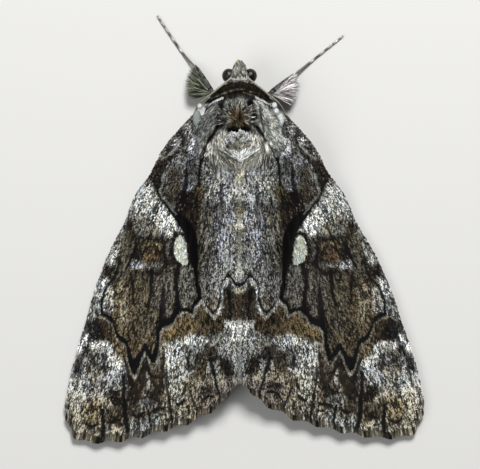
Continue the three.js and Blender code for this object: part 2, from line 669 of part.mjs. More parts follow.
// The tongue, coiled up under the head.
function tongueSolid() {
  const rings = 18;
  const points = [];
  const radii = [];
  for (let i = 0; i <= rings; i++) {
    const share = i / rings;
    const turn = Math.PI / 2 - share * COIL.turns * 2 * Math.PI;
    const reach = THREE.MathUtils.lerp(COIL.outer, COIL.inner, share);
    points.push(new THREE.Vector3(0, COIL.along + reach * Math.cos(turn), COIL.height + reach * Math.sin(turn)));
    radii.push(THREE.MathUtils.lerp(...COIL.radius, share));
  }
  const side = new THREE.Vector3(1, 0, 0);
  return loft(points.map((point, i) => {
    const ahead = points[Math.min(rings, i + 1)].clone().sub(points[Math.max(0, i - 1)]).normalize();
    return ring(point, side, ahead.cross(side), radii[i], radii[i], 6);
  }));
}

// ---------------------------------------------------------------- assembly

const moth = new THREE.Group();
moth.position.set(-MIDDLE[0], -MIDDLE[1], 0);

function add(name, solid, colour, roughness = 0.85) {
  const material = new THREE.MeshStandardMaterial({ color: colour, roughness, metalness: 0 });
  const mesh = new THREE.Mesh(geometryOf(largest(solid)), material);
  mesh.name = name;
  moth.add(mesh);
}

const thoraxClear = bodySolid(THORAX_RINGS, GAP, 28, SHOULDER_SWEEP);
const thickCollar = bodySolid(COLLAR_RINGS, SWEPT_GAP, 24, SHOULDER_SWEEP);
const collarClear = joined([-1, 0, 1].map((step) => thickCollar.translate(0, (step * GAP) / 2, 0)));
const headClear = bodySolid(HEAD_RINGS, GAP, 20);
const trunkClear = joined([thoraxClear, collarClear, headClear]);
const eyeClear = joined(Object.values(SIDES).map((side) => eyeSolid(side, GAP)));

const thorax = bodySolid(THORAX_RINGS, 0, 28, SHOULDER_SWEEP).add(crestLocks());
add("thorax", thorax.subtract(collarClear), COLOURS.thorax);
add("collar", bodySolid(COLLAR_RINGS, 0, 24, SHOULDER_SWEEP), COLOURS.collar);
add("abdomen", abdomenSolid().add(tailLocks()), COLOURS.abdomen);
add("head", bodySolid(HEAD_RINGS, 0, 20).add(fronsLocks()).subtract(eyeClear), COLOURS.head);
add("proboscis", tongueSolid().subtract(headClear), COLOURS.antenna);

for (const [name, side] of Object.entries(SIDES)) {
  const thickWing = wingSolid(FOREWING_PLAN, FOREWING_VEINS, FOREWING_ROWS, name, {
    thickness: WING_THICKNESS + 2 * GAP, scallop: 0,
  });
  const wingClear = thickWing.add(thickWing.translate(-side * GAP, GAP, 0));
  add(`eye_${name}`, eyeSolid(side, 0), COLOURS.eye, 0.2);
  add(`palp_${name}`, palpSolid(side).subtract(headClear), COLOURS.head);
  add(`antenna_${name}`, antennaSolid(side).subtract(trunkClear).subtract(eyeClear), COLOURS.antenna);
  add(`tegula_${name}`, tegulaSolid(side).subtract(trunkClear).subtract(wingClear), COLOURS.thorax);
  const forewing = wingSolid(FOREWING_PLAN, FOREWING_VEINS, FOREWING_ROWS, name);
  add(`forewing_${name}`, forewing.subtract(thoraxClear), COLOURS.wing);
  const under = { drop: HINDWING_DROP, veinRise: 0, scallop: 0 };
  const hindwing = wingSolid(HINDWING_PLAN, HINDWING_VEINS, HINDWING_ROWS, name, under);
  add(`hindwing_${name}`, hindwing.subtract(thoraxClear), COLOURS.hindwing);
  for (const leg of Object.keys(LEGS)) add(`${leg}_${name}`, legSolid(leg, name, trunkClear), COLOURS.leg);
}

export default moth;
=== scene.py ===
"""A resting underwing moth as it looks: skins, scales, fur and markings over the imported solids.

Lengths are in millimetres from the moth's own midline until a mesh is made, which goes into the row frame.
"""

import bpy
import numpy as np
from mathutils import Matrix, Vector


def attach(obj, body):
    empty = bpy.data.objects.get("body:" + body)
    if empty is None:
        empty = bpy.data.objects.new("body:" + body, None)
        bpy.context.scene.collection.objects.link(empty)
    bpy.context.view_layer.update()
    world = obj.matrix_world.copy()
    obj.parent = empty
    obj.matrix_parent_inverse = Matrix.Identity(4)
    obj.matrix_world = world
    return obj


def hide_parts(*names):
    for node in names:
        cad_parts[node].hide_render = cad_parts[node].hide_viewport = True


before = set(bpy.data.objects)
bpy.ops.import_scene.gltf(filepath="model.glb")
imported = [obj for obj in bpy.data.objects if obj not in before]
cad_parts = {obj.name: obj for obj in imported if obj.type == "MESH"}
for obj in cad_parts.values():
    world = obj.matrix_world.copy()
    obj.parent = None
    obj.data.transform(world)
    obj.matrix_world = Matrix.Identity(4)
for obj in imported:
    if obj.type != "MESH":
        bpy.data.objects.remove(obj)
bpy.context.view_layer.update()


# ---------------------------------------------------------------- sizes

MM = 0.001
MIDDLE = np.array([0.57, -0.2, 0.0])  # the outline's centre, from the moth's midline
SIDES = {"left": -1, "right": 1}
UP = np.array([[0.0, 0.0, 1.0]])

CAMERA_HEIGHT = 301.0
CAMERA_LENS = 200.0
VIEW_CENTRE = np.array([0.056, -0.73])  # what the camera looks straight down on

WING_THICKNESS = 0.5
VEIN_RISE = 0.1
VEIN_HALF_WIDTH = 0.22
COAT = 0.1  # how far the wings' skins lie inside the solids
HINDWING_DROP = 1.12
SCALLOP_DEPTH = 0.34
FOREWING_PLAN = {
    "base": [[3.2, 11.2], [4.1, 12.2], [5.0, 12.6]],
    "inner": [[3.2, 11.2], [3.5, 9.3], [2.8, 7.7], [1.5, 6.8], [0.15, 6.4]],
    "inner_end": [0.15, -17.3],
    "costa": [[5.0, 12.6], [6.9, 10.7], [8.6, 8.6], [9.8, 6.3], [11.6, 3.8], [13.1, 0.3], [14.9, -2.9],
              [16.6, -7.1], [17.7, -10.6], [19.2, -15.3], [20.2, -20.0]],
    "margin": [[0.15, -17.3], [1.2, -18.5], [2.4, -19.9], [4.2, -20.9], [6.0, -21.8], [8.7, -22.6],
               [12.3, -23.5], [15.6, -23.95], [18.6, -23.7], [19.9, -22.2], [20.2, -20.0]],
}
HINDWING_PLAN = {
    "base": [[3.0, 8.4], [3.6, 8.8], [4.1, 9.0]],
    "inner": [[3.0, 8.4], [2.2, 7.0], [1.0, 5.9], [0.4, 5.0]],
    "inner_end": [0.4, -14.2],
    "costa": [[4.1, 9.0], [6.0, 6.4], [7.6, 3.4], [9.4, -1.0], [11.8, -6.5], [13.4, -12.0]],
    "margin": [[0.4, -14.2], [2.4, -16.6], [5.2, -18.2], [8.4, -18.6], [11.6, -16.8], [13.4, -12.0]],
}
SPREAD = {"left": 0.973, "right": 1.029}
SPREAD_FADE = (8, -12)
HANG = {"left": -0.35, "right": 0.15}
HANG_FADE = (-12, -18)
FOREWING_VEINS = [0.07, 0.18, 0.3, 0.41, 0.52, 0.63, 0.74, 0.85, 0.95]
HINDWING_VEINS = [0.16, 0.34, 0.5, 0.66, 0.83]
VEIN_START = (0.1, 0.3)
MARGIN_LENGTH = 24.0

# Heights of the wings at places along Y.
RIDGE_HEIGHT = [[14, 6.6], [10, 7.0], [7.5, 7.55], [6.4, 7.65], [3, 7.35], [0, 6.9], [-8, 5.4], [-13, 4.3],
                [-17, 3.5], [-24, 2.2]]
ROOF_HEIGHT = [[14, 6.2], [8, 5.9], [4, 5.4], [0, 4.8], [-8, 3.7], [-16, 2.7], [-24, 1.8]]
RIDGE_WIDTH = [[8, 5.2], [0, 5.0], [-8, 4.4], [-16, 3.4], [-24, 3.0]]
RIDGE_SHOULDER = (0.42, 1.25)
EDGE_LOW = 0.66
EDGE_HIGH = 4.4
EDGE_RISE = (-1, 12.5)
ROOF_CURVE = 1.3
FOLD_LINE = [[9.4, 4.8], [7.2, 1.8], [5.7, -0.6], [5.0, -3.4], [4.9, -7.5]]
FOLD_DEPTH = 0.34
FOLD_WIDTH = 1.15

# Body rings from front to back: place along Y, half width, height of the middle, half height.
TRUNK_RINGS = np.array([
    [17.65, 0.38, 3.9, 0.5], [17.45, 0.72, 3.95, 0.98], [17.1, 1.0, 4.0, 1.38], [16.75, 1.15, 4.05, 1.56],
    [16.45, 1.2, 4.1, 1.5], [16.2, 1.25, 4.2, 1.5], [16.0, 1.6, 4.5, 1.9], [15.75, 2.2, 4.55, 2.3],
    [15.4, 3.05, 4.65, 2.7], [15.05, 4.0, 4.7, 3.0], [14.75, 3.75, 4.7, 3.05], [14.3, 3.8, 4.7, 3.25],
    [13.2, 3.95, 4.65, 3.4], [11.6, 3.9, 4.6, 3.5], [10.0, 3.75, 4.5, 3.45], [8.6, 3.4, 4.4, 3.25],
    [7.5, 2.8, 4.2, 2.8], [6.9, 2.3, 3.8, 2.3], [6.55, 2.3, 3.3, 2.15], [5.6, 2.85, 3.2, 2.45],
    [3.5, 3.0, 3.1, 2.45], [0.0, 2.9, 2.8, 2.25], [-4.0, 2.6, 2.4, 1.85], [-8.0, 2.1, 2.0, 1.45],
    [-11.0, 1.6, 1.7, 1.1], [-13.3, 1.1, 1.5, 0.8], [-14.9, 0.75, 1.35, 0.5], [-15.9, 0.35, 1.25, 0.25],
])
SHOULDER_SWEEP = 0.085
SWEEP_FADE = (9, 13.5)
TUBE_STEP = 0.02
EYE = {"across": 1.2, "along": 16.95, "height": 4.0, "radius": 0.8}

SOLE = 0.15
LEGS = {
    "foreleg": {
        "left": [[1.3, 14.6, 2.9], [3.1, 15.0, 1.9], [4.8, 18.0, 0.75], [6.6, 20.0, SOLE],
                 [9.2, 23.85, SOLE]],
        "right": [[1.3, 14.6, 2.9], [3.45, 14.95, 1.9], [6.1, 17.2, 0.75], [8.6, 19.2, SOLE],
                  [11.6, 21.6, SOLE]],
        "thickness": (0.5, 0.42), "spurs": 0,
    },
    "midleg": {
        **dict.fromkeys(SIDES, [[1.7, 11.0, 2.2], [5.4, 8.7, 1.6], [8.3, 3.3, 0.62], [9.3, 0.3, SOLE],
                                [9.8, -2.7, SOLE]]),
        "thickness": (0.52, 0.4), "spurs": 1,
    },
    "hindleg": {
        **dict.fromkeys(SIDES, [[1.5, 8.7, 2.0], [4.5, 4.8, 1.2], [7.3, -3.6, 0.6], [8.3, -7.0, SOLE],
                                [8.7, -10.2, SOLE]]),
        "thickness": (0.55, 0.42), "spurs": 2,
    },
}
TARSUS_RADIUS = (0.3, 0.25)
TARSUS_SHARES = [0.4, 0.2, 0.16, 0.12, 0.12]
SPUR = {"length": 1.0, "width": 0.16, "places": (0.97, 0.6), "spread": 0.35}
CLAW = {"length": 0.2, "width": 0.07, "spread": 0.12}
BRUSH = {"start": (0.0, 0.55), "turn": {"left": (64, 2), "right": (60, 0)}, "reach": (2.75, 1.75),
         "swell": 0.45, "droop": 0.5, "lowest": 0.35, "hairs": 3200}

ANTENNA_ROUTE = [[0.85, 16.6, 5.4], [1.45, 16.25, 5.85], [2.35, 15.6, 5.95], [3.25, 14.85, 5.8],
                 [4.4, 13.95, 5.0], [5.1, 12.7, 3.85]]
ANTENNA_UNDER_WING = [[6.2, 10.2], [7.6, 7.9], [9.1, 5.2], [10.4, 2.8], [11.2, 1.2]]
ANTENNA_RADIUS = (0.27, 0.25)
PALP_ROUTE = [[0.55, 17.2, 2.15], [0.52, 17.8, 2.4], [0.44, 18.12, 3.2], [0.32, 18.33, 4.0],
              [0.25, 18.54, 4.6]]
PALP_RADII = [0.28, 0.34, 0.28, 0.22, 0.12]
COIL = {"along": 16.4, "height": 1.55, "outer": 0.72, "inner": 0.3, "turns": 1.25, "radius": (0.2, 0.12)}
TEGULA_LOCKS = [[59, 2.6, 8.9], [50, 3.0, 8.1], [37, 3.65, 8.3], [25, 4.3, 9.4]]
TEGULA = {"along": 13.75, "clear": 0.6, "width": 1.45, "thickness": 0.5, "rise": 0.3}


# ---------------------------------------------------------------- markings and painted shade

# Wing markings and painted shade are laid out on the left forewing as seen from above, in units of DOT from
# a corner
# of the view: x grows towards the moth's right and y towards its tail. The right wing takes them mirrored.
DOT = 0.1125
MIDLINE_DOT = 239.5
LEVEL_DOT = 228.0

WHITE = np.array((0.74, 0.75, 0.74))
PALE = np.array((0.46, 0.465, 0.445))
CREAM = np.array((0.52, 0.5, 0.42))
BLUISH = np.array((0.4, 0.41, 0.435))
GREY = np.array((0.34, 0.345, 0.335))
SLATE = np.array((0.2, 0.2, 0.19))
OLIVE = np.array((0.2, 0.185, 0.145))
BEIGE = np.array((0.46, 0.445, 0.40))
OCHRE = np.array((0.28, 0.23, 0.135))
TAN = np.array((0.245, 0.21, 0.145))
ORANGE = np.array((0.2, 0.145, 0.085))
BROWN = np.array((0.14, 0.115, 0.08))
UMBER = np.array((0.065, 0.052, 0.038))
BLACK = np.array((0.012, 0.01, 0.01))
PINKISH = np.array((0.28, 0.25, 0.22))
DUSTY = np.array((0.385, 0.385, 0.365))
FAWN = np.array((0.61, 0.6, 0.56))
SMOKE = np.array((0.175, 0.16, 0.13))
TAWNY = np.array((0.36, 0.335, 0.275))
CHALK = np.array((0.69, 0.71, 0.665))
RUSSET = np.array((0.72, 0.27, 0.11))
HAZEL = np.array((0.35, 0.305, 0.245))
AMBER = np.array((0.3, 0.2, 0.1))
EYE_BROWN = np.array((0.16, 0.12, 0.08))
SILVER = np.array((0.43, 0.46, 0.435))
CHALK_BLUE = np.array((0.66, 0.68, 0.67))
FERN = np.array((0.35, 0.36, 0.315))
PEARL = np.array((0.64, 0.62, 0.61))

STREAK_EDGE = 0.8  # half the width of a streak's soft edge
WANDER = {"x": 7, "y": 11, "reach": 2.2}  # how markings wander: size of a swing and how far it goes

# Patches: colour, strength, softness of the edge, outline.
PATCHES = [
    # the ridge over the body
    (GREY, 1.0, 8, [(200, 160), (242, 160), (242, 300), (200, 300)]),
    (PALE, 0.65, 12, [(206, 158), (242, 158), (242, 200), (206, 196)]),
    (CREAM, 0.5, 5, [(235, 158), (242, 158), (242, 200), (238, 200)]),
    (CREAM, 0.45, 5, [(235, 214), (242, 214), (242, 232), (234, 230)]),
    (BLUISH, 0.45, 7, [(219, 165), (232, 165), (233, 262), (216, 262)]),
    (UMBER, 0.55, 9, [(200, 202), (222, 204), (222, 216), (204, 222)]),
    (TAN, 0.6, 5, [(237, 200), (242, 200), (242, 216), (236, 214)]),
    (WHITE, 0.3, 4, [(236, 219), (242, 219), (242, 229), (236, 228)]),
    (BROWN, 0.5, 3, [(234, 232), (242, 231), (242, 235), (236, 236)]),
    (UMBER, 0.5, 5, [(216, 226), (228, 222), (232, 232), (220, 234)]),
    (OCHRE, 0.5, 5, [(198, 186), (203, 186), (203, 205), (198, 205)]),
    (TAN, 0.35, 10, [(198, 212), (213, 212), (211, 300), (198, 300)]),
    (BLUISH, 0.5, 8, [(213, 212), (232, 212), (232, 248), (213, 248)]),
    (SLATE, 0.3, 7, [(205, 224), (217, 221), (219, 246), (214, 262), (206, 262)]),
    (OLIVE, 0.3, 6, [(226, 240), (242, 238), (242, 256), (230, 260)]),
    (PALE, 0.5, 6, [(232, 262), (242, 262), (242, 276), (232, 276)]),
    # the wing's root
    (SLATE, 1.0, 6, [(196, 120), (200, 200), (176, 218), (160, 200), (176, 160), (186, 124)]),
    (UMBER, 0.75, 5, [(192, 118), (178, 124), (172, 140), (160, 158), (170, 164), (184, 140)]),
    (PALE, 0.7, 3, [(183, 121), (191, 123), (191, 135), (184, 138), (181, 130)]),
    (GREY, 0.9, 3, [(184, 123), (190, 125), (190, 133), (185, 135), (183, 129)]),
    (WHITE, 0.6, 4, [(175, 135), (180, 138), (178, 146), (171, 147)]),
    (CREAM, 0.75, 3, [(161, 153), (165, 152), (166, 159), (161, 160)]),
    (BLUISH, 1.0, 5, [(188, 138), (200, 140), (200, 158), (189, 160)]),
    (WHITE, 0.3, 5, [(189, 141), (199, 142), (199, 156), (190, 157)]),
    (BLUISH, 0.45, 6, [(176, 156), (189, 157), (192, 170), (178, 171)]),
    (BROWN, 0.6, 6, [(168, 169), (180, 169), (180, 190), (168, 190)]),
    (BLUISH, 0.75, 5, [(183, 177), (194, 177), (194, 190), (183, 190)]),
    (OCHRE, 0.8, 4, [(194, 188), (200, 188), (200, 200), (195, 200)]),
    (BROWN, 0.75, 7, [(164, 188), (184, 190), (184, 204), (164, 202)]),
    # the dark gap at the leading edge
    (UMBER, 0.85, 5, [(158, 158), (168, 160), (160, 200), (156, 194), (150, 180), (146, 178)]),
    (BROWN, 0.85, 5, [(152, 164), (160, 158), (164, 164), (158, 176), (150, 178)]),
    # the brown field inside the black streak
    (UMBER, 0.95, 6, [(176, 194), (198, 190), (200, 232), (190, 226), (176, 212)]),
    (BROWN, 0.8, 6, [(184, 214), (200, 206), (202, 300), (196, 300), (194, 236)]),
    # the pale field
    (PALE, 0.9, 4, [(150, 180), (156, 190), (160, 202), (170, 212), (176, 226), (174, 244), (166, 240),
        (150, 234), (136, 226), (128, 218), (132, 208), (139, 196)]),
    (PALE, 0.7, 6, [(149, 183), (155, 193), (152, 208), (140, 218), (131, 216), (138, 200)]),
    (WHITE, 0.65, 6, [(160, 204), (167, 208), (172, 216), (174, 228), (172, 239), (166, 237), (162, 222)]),
    (OLIVE, 0.65, 8, [(132, 220), (144, 217), (156, 225), (165, 237), (168, 244), (148, 242), (134, 236)]),
    (BROWN, 0.95, 4, [(126, 219), (133, 224), (139, 240), (132, 242), (122, 236)]),
    # behind the pale field
    (OLIVE, 0.9, 6, [(120, 238), (142, 238), (138, 262), (118, 280), (104, 276), (108, 258)]),
    (PALE, 0.6, 4, [(116, 240), (122, 243), (113, 268), (106, 272), (108, 258)]),
    (WHITE, 0.35, 4, [(112, 249), (117, 250), (114, 264), (110, 262)]),
    (UMBER, 1.0, 4, [(104, 264), (113, 268), (112, 278), (102, 278)]),
    (UMBER, 0.8, 8, [(134, 238), (160, 236), (172, 240), (176, 262), (166, 268), (146, 264), (132, 258)]),
    (OLIVE, 0.75, 5, [(138, 240), (156, 239), (166, 246), (160, 262), (140, 262)]),
    (OCHRE, 0.6, 6, [(139, 251), (142, 245), (148, 241), (155, 241), (161, 245), (163, 252), (160, 259),
        (154, 263), (146, 263), (141, 258)]),
    (ORANGE, 1.0, 4, [(143, 254), (144, 249), (149, 246), (155, 246), (159, 250), (160, 256), (156, 261),
        (150, 263), (145, 260)]),
    (BROWN, 0.5, 4, [(148, 251), (152, 249), (156, 252), (155, 257), (150, 258)]),
    (UMBER, 0.4, 5, [(130, 250), (140, 250), (140, 260), (131, 260)]),
    (BLACK, 0.5, 6, [(160, 248), (167, 247), (168, 264), (159, 263)]),
    (UMBER, 0.7, 6, [(166, 256), (174, 258), (178, 264), (188, 266), (192, 262), (192, 276), (162, 276)]),
    (GREY, 0.4, 5, [(166, 242), (172, 240), (174, 258), (168, 262)]),
    (SLATE, 0.7, 6, [(176, 264), (192, 266), (196, 276), (168, 276)]),
    (BLUISH, 1.0, 4, [(131, 261), (141, 260), (142, 269), (137, 275), (130, 270)]),
    (WHITE, 0.3, 4, [(133, 262), (140, 262), (139, 270), (134, 270)]),
    # the middle field
    (SMOKE, 1.0, 5, [(112, 270), (200, 266), (200, 310), (178, 330), (160, 345), (154, 364), (146, 345),
        (136, 376), (126, 345), (110, 318), (104, 300)]),
    (TAN, 0.76, 5, [(112, 284), (138, 276), (154, 296), (157, 330), (157, 346), (153, 357), (148, 348),
        (144, 342), (140, 350), (134, 360), (128, 350), (122, 340), (108, 314)]),
    (CREAM, 0.4, 6, [(114, 286), (126, 280), (128, 320), (118, 322)]),
    (OLIVE, 0.8, 6, [(138, 276), (154, 276), (157, 345), (150, 342), (145, 336), (138, 340)]),
    (GREY, 0.42, 4, [(179, 268), (194, 267), (197, 296), (192, 308), (185, 311), (179, 300)]),
    (GREY, 0.3, 6, [(155, 274), (174, 272), (175, 300), (170, 315), (164, 318), (157, 304)]),
    (WHITE, 0.4, 3, [(96, 279), (104, 279), (101, 300), (94, 296)]),
    (WHITE, 0.4, 3, [(107, 286), (113, 290), (112, 314), (103, 312)]),
    (GREY, 0.7, 5, [(92, 290), (100, 300), (100, 322), (86, 324)]),
    (BLACK, 1.0, 3, [(160, 318), (166, 321), (173, 316), (176, 302), (180, 305), (183, 311), (176, 320),
        (168, 328), (160, 333)]),
    (BLACK, 1.0, 3, [(127, 354), (134, 362), (142, 353), (139, 366), (135, 376)]),
    (BLACK, 1.0, 3, [(146, 348), (153, 358), (160, 340), (158, 358), (154, 364)]),
    (GREY, 0.7, 5, [(200, 262), (222, 262), (222, 306), (214, 312), (204, 308), (200, 296)]),
    (OCHRE, 0.45, 4, [(206, 298), (218, 298), (216, 310), (208, 309)]),
    (SLATE, 0.7, 4, [(222, 272), (234, 272), (234, 300), (222, 300)]),
    (WHITE, 0.6, 3, [(225, 278), (232, 278), (232, 288), (226, 289)]),
    (PALE, 0.7, 5, [(234, 262), (242, 262), (242, 284), (235, 282)]),
    # the ochre band
    (TAN, 1.0, 4, [(162, 330), (178, 318), (200, 302), (206, 312), (222, 314), (223, 328), (217, 341),
        (209, 338), (200, 335), (190, 335), (182, 338), (177, 343), (173, 350), (162, 348)]),
    (OCHRE, 0.8, 6, [(164, 332), (176, 324), (186, 322), (184, 333), (176, 340), (170, 347), (164, 343)]),
    (OCHRE, 0.4, 6, [(184, 320), (198, 316), (200, 334), (184, 334)]),
    (BROWN, 0.45, 6, [(190, 312), (204, 310), (208, 336), (196, 338)]),
    (BROWN, 0.7, 5, [(204, 318), (222, 316), (222, 334), (208, 336)]),
    (BROWN, 0.9, 5, [(222, 294), (242, 290), (242, 320), (222, 322)]),
    (BROWN, 1.0, 4, [(98, 316), (110, 320), (116, 334), (110, 342), (94, 340)]),
    (OCHRE, 0.85, 4, [(111, 326), (128, 346), (130, 360), (122, 362), (112, 346)]),
    # the outer part of the wing
    (DUSTY, 1.0, 4, [(90, 343), (108, 340), (116, 356), (128, 362), (126, 382), (126, 436), (68, 440),
        (64, 400), (78, 356)]),
    (DUSTY, 1.0, 5, [(160, 346), (182, 338), (206, 337), (242, 322), (242, 384), (214, 398), (196, 420),
        (160, 422)]),
    (TAWNY, 0.8, 16, [(64, 400), (100, 392), (126, 398), (126, 436), (66, 440)]),
    (TAWNY, 0.7, 14, [(160, 388), (200, 372), (240, 370), (242, 392), (214, 402), (196, 420), (160, 424)]),
    (BROWN, 0.85, 6, [(127, 372), (136, 378), (146, 352), (156, 366), (162, 346), (164, 404), (160, 414),
        (126, 420)]),
    (OLIVE, 0.5, 6, [(86, 352), (102, 350), (106, 374), (90, 378)]),
    (WHITE, 0.42, 6, [(89, 345), (98, 339), (110, 342), (112, 348), (100, 345), (91, 351)]),
    (WHITE, 0.3, 9, [(109, 348), (115, 358), (126, 365), (125, 376), (115, 370), (107, 358)]),
    (WHITE, 0.26, 9, [(164, 350), (180, 342), (182, 368), (166, 374)]),
    (WHITE, 0.3, 6, [(178, 343), (188, 336), (204, 336), (212, 343), (206, 347), (190, 345), (181, 352)]),
    (WHITE, 0.18, 10, [(166, 376), (192, 372), (192, 400), (172, 408)]),
    (TAN, 0.4, 8, [(184, 376), (204, 376), (200, 404), (184, 406)]),
    (WHITE, 0.4, 7, [(226, 324), (242, 322), (242, 342), (226, 344)]),
    (SLATE, 0.6, 8, [(184, 346), (200, 350), (200, 372), (184, 368)]),
    (UMBER, 0.8, 6, [(203, 343), (217, 344), (220, 362), (206, 362)]),
    (GREY, 0.9, 6, [(220, 342), (242, 342), (242, 384), (232, 392), (220, 362)]),
    (BROWN, 0.85, 5, [(195, 354), (208, 356), (206, 378), (194, 378)]),
    (UMBER, 0.9, 5, [(219, 358), (230, 362), (234, 374), (226, 380), (220, 372)]),
    (PINKISH, 0.8, 6, [(200, 386), (236, 380), (230, 396), (206, 416), (196, 410)]),
    (UMBER, 0.7, 4, [(204, 386), (212, 386), (209, 393), (202, 392)]),
    (OCHRE, 0.5, 9, [(82, 404), (101, 404), (101, 428), (84, 428)]),
    (WHITE, 0.16, 10, [(68, 366), (84, 358), (90, 376), (84, 420), (68, 426)]),
    (BLUISH, 0.25, 10, [(84, 352), (112, 356), (116, 390), (88, 404)]),
    (TAN, 0.3, 8, [(86, 362), (98, 360), (104, 384), (90, 392)]),
    (UMBER, 1.0, 4, [(110, 392), (121, 388), (122, 410), (112, 408)]),
    (BROWN, 0.75, 5, [(106, 408), (124, 408), (122, 426), (104, 426)]),
    (UMBER, 0.85, 4, [(129, 394), (138, 396), (137, 404), (129, 402)]),
    (UMBER, 0.7, 4, [(150, 388), (160, 390), (159, 400), (152, 398)]),
    (PALE, 0.6, 4, [(140, 376), (150, 372), (154, 388), (144, 396)]),
    (GREY, 0.7, 4, [(138, 398), (158, 402), (156, 410), (140, 414)]),
    # the leading edge near the tip
    (BLACK, 0.8, 6, [(84, 322), (98, 320), (104, 334), (94, 342), (86, 334)]),
    (WHITE, 0.6, 3, [(80, 333), (88, 334), (84, 351), (76, 352)]),
    (BLACK, 0.75, 4, [(84, 348), (90, 346), (80, 374), (72, 376)]),
    # the dark ring of the white kidney mark
    (UMBER, 1.0, 3, [(174, 230), (184, 233), (190, 244), (193, 262), (188, 269), (177, 268), (170, 254),
        (171, 240)]),
]

